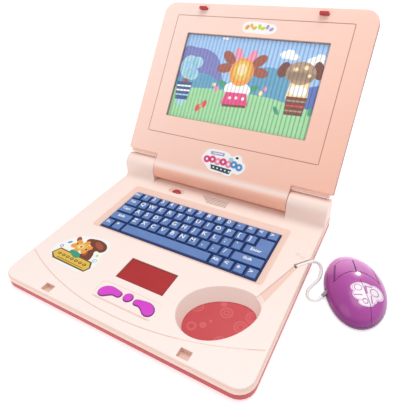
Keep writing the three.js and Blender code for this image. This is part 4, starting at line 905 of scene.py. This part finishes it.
screenStack = {"recess": 2, "gap": 0.3, "window": 1.2}  # what lies above the picture, in mm
pictureTop = lidFace - screenStack["recess"] - screenStack["gap"] - screenStack["window"] - screenStack["gap"]
layerSpread = 1.45  # keeps the picture's layers apart
layerLift = 0.03
pictureLayers = [
    ("patch", "skyBlue", 0.02, [(-94.3, 71), (94.3, 71), (94.3, 184.4), (-94.3, 184.4)]),
    ("oval", "paperWhite", 0.04, [(-38, 182.2), (5, 1.6)]),
    ("oval", "paperWhite", 0.04, [(46, 168), (8, 4.6)]),
    ("oval", "paperWhite", 0.04, [(55, 166.5), (7, 4)]),
    ("oval", "paperWhite", 0.04, [(50, 171), (6, 4)]),
    ("oval", "paperWhite", 0.04, [(83, 163), (10, 6)]),
    ("oval", "paperWhite", 0.04, [(87, 168), (6, 4.6)]),
    ("blob", "hillPurple", 0.05, [
        (-94.2, 166), (-75, 167), (-56, 164.6), (-42, 156), (-33, 140), (-30, 112), (-94.2, 110),
    ]),
    ("blob", "hillTeal", 0.06, [
        (-94.2, 124), (-76, 130), (-55, 134), (-30, 124), (-8, 112), (-8, 104), (-94.2, 104),
    ]),
    ("blob", "hillTeal", 0.07, [
        (-24, 112), (-6, 136), (14, 147), (32, 151), (56, 144), (76, 134), (94.2, 112), (30, 104),
    ]),
    ("patch", "hillBlue", 0.08, [(72, 108), (94.2, 100), (94.2, 136), (80, 132)]),
    ("patch", "meadow", 0.09, [
        (-94.2, 71.1), (94.2, 71.1), (94.2, 106), (70, 109), (40, 114), (0, 116), (-40, 115.5), (-94.2, 111),
    ]),
    # round pale-blue tree in a striped tub
    ("patch", "inkRust", 0.1, [(-85, 130), (-77, 130), (-76, 112), (-85, 112)]),
    ("oval", "inkPaleBlue", 0.11, [(-81, 140), (13, 16)]),
    ("oval", "inkPaleBlue", 0.11, [(-70, 147), (8, 8)]),
    ("oval", "inkPaleBlue", 0.11, [(-74, 131), (10, 8)]),
    ("oval", "skyBlue", 0.12, [(-84, 143), (4, 5)]),
    ("oval", "skyBlue", 0.12, [(-72, 138), (3.4, 3.4)]),
    ("patch", "inkNavy", 0.13, [(-93, 119), (-70, 120), (-72, 96), (-90, 95)]),
    ("patch", "paperWhite", 0.14, [(-92.4, 114.6), (-70.4, 115.6), (-70.6, 113.4), (-92.2, 112.4)]),
    ("patch", "paperWhite", 0.14, [(-91.6, 108.6), (-71, 109.6), (-71.2, 107.4), (-91.4, 106.4)]),
    ("patch", "inkPaleBlue", 0.14, [(-91, 102.4), (-71.4, 103.4), (-71.6, 101.4), (-90.8, 100.4)]),
    ("patch", "inkPaleBlue", 0.1, [(-88, 95), (-74, 96), (-76, 88), (-86, 88)]),
    # big daisy-like bloom in a pink pot
    ("oval", "inkRust", 0.12, [(-26, 158), (11, 6.4), 140]),
    ("oval", "inkRust", 0.12, [(-29, 144), (11, 6.2), 190]),
    ("oval", "inkRust", 0.12, [(15, 157), (11, 6.4), 40]),
    ("oval", "inkRust", 0.12, [(19, 143), (11, 6.2), -10]),
    ("oval", "inkRose", 0.12, [(-14, 163), (9, 5.4), 115]),
    ("oval", "inkRose", 0.12, [(4, 162), (9, 5.4), 65]),
    ("oval", "inkGreen", 0.12, [(-24, 122), (10, 4), 150]),
    ("oval", "inkGreen", 0.12, [(14, 121), (10, 4), 30]),
    ("oval", "paperWhite", 0.13, [(-5, 119), (18, 9.5)]),
    ("patch", "inkPink", 0.14, [(-19, 114), (9, 115), (14, 100), (-22, 98)]),
    ("oval", "inkOrange", 0.15, [(-5, 141), (16, 18)]),
    ("oval", "inkYellow", 0.16, [(-5, 143), (11, 13)]),
    ("oval", "inkCream", 0.17, [(-5, 144), (6, 8)]),
    ("oval", "paperWhite", 0.15, [(-12, 107), (2, 2)]),
    ("oval", "paperWhite", 0.15, [(-3, 108), (2, 2)]),
    ("oval", "paperWhite", 0.15, [(6, 108), (2, 2)]),
    ("patch", "inkBrown", 0.13, [(-20, 98.6), (12, 100.4), (12, 97), (-20, 95)]),
    ("oval", "inkRose", 0.12, [(-33, 116), (3.4, 3.4)]),
    ("oval", "inkCream", 0.13, [(-38, 121), (2.6, 2.6)]),
    ("oval", "inkCream", 0.13, [(27, 118), (3, 3)]),
    ("oval", "inkRose", 0.13, [(31, 124), (2.6, 2.6)]),
    # brown toadstool over a checked basket
    ("oval", "inkBrown", 0.12, [(48, 150), (7, 10), -20]),
    ("oval", "inkBrown", 0.12, [(89, 153), (6, 11), 15]),
    ("patch", "inkCream", 0.13, [(60, 142), (82, 142), (84, 116), (58, 116)]),
    ("oval", "inkTan", 0.14, [(69, 148), (18, 14)]),
    ("patch", "inkTan", 0.14, [(51.5, 149), (86.5, 149), (84, 139), (55, 139)]),
    ("oval", "inkCream", 0.16, [(62, 152), (3, 2.4)]),
    ("oval", "inkCream", 0.16, [(74, 155), (3.4, 2.6)]),
    ("oval", "inkCream", 0.16, [(80, 146), (2.4, 2)]),
    ("oval", "paperWhite", 0.15, [(71, 127), (11, 6)]),
    ("patch", "inkBrown", 0.16, [(59, 119), (84, 120), (83, 98), (61, 97)]),
    ("patch", "inkTan", 0.17, [(59.6, 115), (83.4, 116), (83.2, 114), (59.8, 113)]),
    ("patch", "inkRed", 0.17, [(60, 109), (83.2, 110), (83, 108.2), (60.2, 107.2)]),
    ("patch", "inkTan", 0.17, [(60.4, 103), (83, 104), (82.8, 102.2), (60.6, 101.2)]),
    ("oval", "inkGreen", 0.12, [(51, 100), (6, 2.6), 130]),
    ("oval", "inkGreen", 0.12, [(91, 104), (2.6, 5)]),
    # pair of red petals on the grass
    ("oval", "inkRed", 0.12, [(-53, 88), (3.4, 5.4), -20]),
    ("oval", "inkRed", 0.12, [(-45, 94), (3.4, 5.4), -20]),
    ("oval", "inkYellow", 0.14, [(-49, 91), (2, 2)]),
]
pictureLayers = [
    (kind, ink, pictureTop + height * layerSpread + layerLift, spec)
    for kind, ink, height, spec in pictureLayers
]
artwork("screenPicturePrint", lidPlace, "lid", pictureLayers, "screenInk")

deckArt = [
    # orange bloom with a curled brown frond over a plank
    ("blob", "paperWhite", 0.04, [
        (-117, 48), (-118.6, 58), (-114, 68), (-103, 81), (-90, 86), (-76, 88.4), (-64, 85.4), (-58.6, 76),
        (-60, 67), (-57, 58), (-56, 47), (-62, 39), (-84, 38), (-108, 41),
    ]),
    ("blob", "inkBrown", 0.07, [
        (-92, 79), (-82, 84.5), (-70.5, 84), (-63.5, 79.6), (-61.5, 74), (-65, 69.5), (-71, 69), (-69, 62),
        (-69, 54.5), (-77, 53), (-84, 56), (-80, 64), (-80, 72),
    ]),
    ("blob", "inkRust", 0.09, [(-80, 80.5), (-70, 80), (-66, 76), (-68, 73), (-73, 74), (-78, 77)]),
    ("oval", "inkRust", 0.08, [(-101, 76), (4.6, 3), 130]),
    ("oval", "inkRust", 0.08, [(-80, 62), (4.6, 3), 130]),
    *[("oval", "inkOrange", 0.1, [
        (-90 + 8.4 * math.cos(a), 68 + 5.4 * math.sin(a)), (5.4, 3.6), math.degrees(a),
    ]) for a in (0.3, 1.35, 2.4, 3.45, 4.5, 5.55)],
    ("oval", "inkYellow", 0.12, [(-90, 68), (7.4, 5.2), 12]),
    ("oval", "inkCream", 0.14, [(-91, 67.6), (4, 2.8), 12]),
    ("oval", "inkRust", 0.15, [(-90.4, 67.6), (1.6, 1.2), 12]),
    ("blob", "inkGreen", 0.14, [(-97.5, 58.5), (-92, 60), (-82, 56.6), (-82, 52.6), (-92.5, 54)]),
    ("patch", "inkUmber", 0.1, [
        (-114.8, 47.4), (-110.4, 57), (-62.6, 54.4), (-58.4, 46.8), (-61.8, 40), (-107.6, 41.2),
    ]),
    ("patch", "inkYellow", 0.12, [
        (-113, 47.6), (-109.4, 55.4), (-64.2, 52.9), (-60.2, 46.8), (-63, 41.6), (-106.6, 43),
    ]),
    *[("oval", "inkUmber", 0.14, [(-105 + 6.2 * i, 49.8 - 0.3 * i), (2.3, 1.7)]) for i in range(7)],
    *[("oval", "inkYellow", 0.16, [(-105 + 6.2 * i, 49.8 - 0.3 * i), (1.1, 0.7)]) for i in range(7)],
    ("patch", "inkUmber", 0.14, [(-104, 45), (-66, 43.8), (-66, 43.2), (-104, 44.2)]),
    ("oval", "inkPurple", 0.07, [(-112, 59.6), (2.4, 2)]),
    ("oval", "paperWhite", 0.09, [(-112, 59.6), (1.3, 1)]),
    ("oval", "inkBlue", 0.07, [(-107.6, 68), (2.8, 1.6), 40]),
    ("oval", "inkPaleBlue", 0.07, [(-62, 57.4), (2.8, 2.5)]),
    ("oval", "paperWhite", 0.09, [(-61.6, 57.4), (1.6, 1.4)]),
    ("oval", "inkLime", 0.07, [(-64.6, 64.4), (1.7, 1.5)]),
]
deckArt = [(kind, ink, deckTop + height, spec) for kind, ink, height, spec in deckArt]
artwork("deckSticker", basePlace, "base", deckArt, "stickerInk")

plateBeads = [
    (-18.6, 25.4, "inkPink"), (-11, 26.4, "inkPink"), (-3.4, 25, "inkRose"), (4, 26, "inkPink"),
    (11.6, 24.6, "inkRose"), (18.6, 25.6, "inkBlue"), (26, 23.6, "inkBlue"),
]
lidArt = [
    # small cloud with coloured petals above the screen
    ("blob", "paperWhite", 0.04, [
        (-18, 196), (-16, 202.5), (-8, 204.6), (4, 204.4), (15, 203), (25, 200.4), (27, 195), (20, 190),
        (8, 189.4), (-6, 190), (-14, 190.4),
    ]),
    ("oval", "inkOrange", 0.08, [(-11.5, 197), (3.4, 2.4), 60]),
    ("oval", "inkYellow", 0.08, [(-6, 199), (3.2, 2), 120]),
    ("oval", "inkYellow", 0.08, [(-1.5, 196.4), (3.2, 2), 30]),
    ("oval", "inkLime", 0.08, [(4.6, 198.6), (3.2, 2.2), 100]),
    ("oval", "inkLime", 0.08, [(9.6, 196.6), (3.2, 2), 20]),
    ("oval", "inkLilac", 0.08, [(15, 198.6), (3, 2), 80]),
    ("oval", "inkLilac", 0.08, [(20.4, 196), (3, 2), 40]),
    # plate with bars under the screen
    ("blob", "paperWhite", 0.04, [
        (-26, 25), (-23.5, 33), (-18, 38.4), (-4, 39.4), (8, 38.4), (14, 35), (20, 38), (26, 36.6),
        (29, 31), (33.4, 27.6), (33, 20), (26, 14.6), (20, 15), (17, 11), (4, 11.6), (-13, 13), (-19, 18),
    ]),
    ("patch", "inkLilac", 0.08, [(-15.6, 36.4), (3.4, 37), (3.4, 32.8), (-15, 32.4)]),
    ("patch", "paperWhite", 0.1, [(-12, 35), (1, 35.4), (1, 34.4), (-12, 34)]),
    *[("oval", ink, 0.08, [(x, y), (4.7, 4.6)]) for x, y, ink in plateBeads],
    *[("oval", "paperWhite", 0.1, [(x, y), (1.5, 1.5)]) for x, y, _ in plateBeads],
    ("patch", "inkTeal", 0.09, [(-12, 20), (17.6, 18.6), (15, 12.6), (-10, 14.4)]),
    *[("oval", "paperWhite", 0.11, [(-7 + 5.4 * i, 17 - 0.3 * i), (1.2, 0.9)]) for i in range(5)],
    ("oval", "inkPaleBlue", 0.08, [(13.6, 31), (3.4, 2.2)]),
    ("oval", "inkBlack", 0.08, [(20.8, 34.3), (2, 1.5)]),
]
lidArt = [(kind, ink, lidFace + height, spec) for kind, ink, height, spec in lidArt]
artwork("lidStickers", lidPlace, "lid", lidArt, "stickerInk")
print("stickers laid")

# key legends

keyboard = {
    "pitch": 13.3,
    "row": 15.1,
    "front": 108.4,
    "units": 15,
    "lift": 0.05,
    "size": {"letter": 6.4, "word": 4.2},
    "fontScale": 1.35,
    "stroke": 0.1,
    "shift": {"letter": 1.7, "word": 0.6},  # to the left of the key's middle
    "back": 0.9,  # behind it
}
# row from the front, first unit, widths of the keys and what is on them
legendRows = {
    "number_row_keys": (4, 0, [1] * 15, ["Esc", *"1234567890", "-", "=", "<", ">"]),
    "qwerty_row_keys": (3, 0, [1.5] + [1] * 12, ["Tab", *"QWERTYUIOP", "[", "]"]),
    "home_row_keys": (2, 0, [1.75] + [1] * 11, ["Caps", *"ASDFGHJKL", ";", "'"]),
    "shift_row_keys": (1, 0, [2.25] + [1] * 10 + [2.75], ["Shift", *"ZXCVBNM", ",", ".", "/", "Shift"]),
    "bottom_left_keys": (0, 0, [1.1, 1.1], ["Fn", "*"]),
    "bottom_right_keys": (0, 10.9, [1.025] * 4, ["Alt", "<", "+", ">"]),
    "enter_key": (2, 12.75, [2.25], ["Enter"]),
}


def legendInk():
    # white print, worn bluish in places
    surface = Surface("legendInk", Roughness=0.4)
    wear = (surface.noise(700, detail=4) - 0.35).clamp()
    surface.feed("Base Color", surface.mix(wear, screenColour(255, 255, 255), screenColour(206, 220, 240)))
    return surface.material


legendMaterial = legendInk()


def addLegends(node, row, start, widths, words):
    letters = []
    left = start
    for width, word in zip(widths, words):
        centre = (left + width / 2 - keyboard["units"] / 2) * keyboard["pitch"]
        left += width
        kind = "letter" if len(word) == 1 else "word"
        text = bpy.data.curves.new("legend", "FONT")
        text.body = word
        text.size = keyboard["size"][kind] * mm * keyboard["fontScale"]
        text.align_x = "CENTER"
        text.align_y = "CENTER"
        text.resolution_u = 3
        text.offset = keyboard["stroke"] * mm
        letter = bpy.data.objects.new("legend", text)
        bpy.context.scene.collection.objects.link(letter)
        pick(letter)
        bpy.ops.object.convert(target="MESH")
        letter = bpy.context.object
        y = keyboard["front"] + (row + 0.5) * keyboard["row"] + keyboard["back"]
        spot = at(centre - keyboard["shift"][kind], y, deckTop - keyDrop + keyboard["lift"])
        letter.data.transform(Matrix.Translation(spot))
        letters.append(letter)
    pick(*letters)
    bpy.ops.object.join()
    piece = bpy.context.object
    piece.name = node + "_legends"
    piece.data.materials.clear()
    piece.data.materials.append(legendMaterial)
    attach(piece, frame["nodes"][node]["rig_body"])


for node, (row, start, widths, words) in legendRows.items():
    addLegends(node, row, start, widths, words)
print("legends printed")

# floor and light

studio = {
    "white": (240, 240, 240),
    "floorSize": 8,
    "floorDrop": 0.0002,
    "floorGlow": 0.5,
    "world": 0.56,
    "lampAim": (0, 120, 20),
    # place in mm, size and power
    "lamps": {
        "topLamp": ((250, 500, 1400), 1.2, 10.5),
        "frontLamp": ((-900, -900, 900), 1.4, 5),
    },
}


def addStudio():
    deselect()
    bpy.ops.mesh.primitive_plane_add(size=studio["floorSize"], location=(home.x, home.y, -studio["floorDrop"]))
    floor = bpy.context.object
    floor.name = "studioFloor"
    glow = {"Emission_Color": (1, 1, 1, 1), "Emission_Strength": studio["floorGlow"]}
    surface = Surface("floorPaper", Roughness=0.9, **glow)
    tone = surface.noise(3, detail=2)
    white = screenColour(*studio["white"])
    surface.feed("Base Color", surface.mix(tone, tuple(c * 0.98 for c in white), white))
    floor.data.materials.append(surface.material)
    floor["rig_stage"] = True
    world = bpy.data.worlds.new("studioWorld")
    bpy.context.scene.world = world
    world.use_nodes = True
    world.node_tree.nodes["Background"].inputs["Color"].default_value = (1, 1, 1, 1)
    world.node_tree.nodes["Background"].inputs["Strength"].default_value = studio["world"]
    for name, (place, size, power) in studio["lamps"].items():
        data = bpy.data.lights.new(name, "AREA")
        data.shape = "DISK"
        data.size = size
        data.energy = power
        lamp = bpy.data.objects.new(name, data)
        bpy.context.scene.collection.objects.link(lamp)
        lamp.location = at(*place)
        lamp.rotation_euler = (at(*studio["lampAim"]) - lamp.location).to_track_quat("-Z", "Y").to_euler()


addStudio()

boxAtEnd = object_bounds()
cornersAtStart = [*boxAtStart[0], *boxAtStart[1]]
cornersAtEnd = [*boxAtEnd[0], *boxAtEnd[1]]
print("box grows by", [round((end - start) / mm, 2) for start, end in zip(cornersAtStart, cornersAtEnd)])
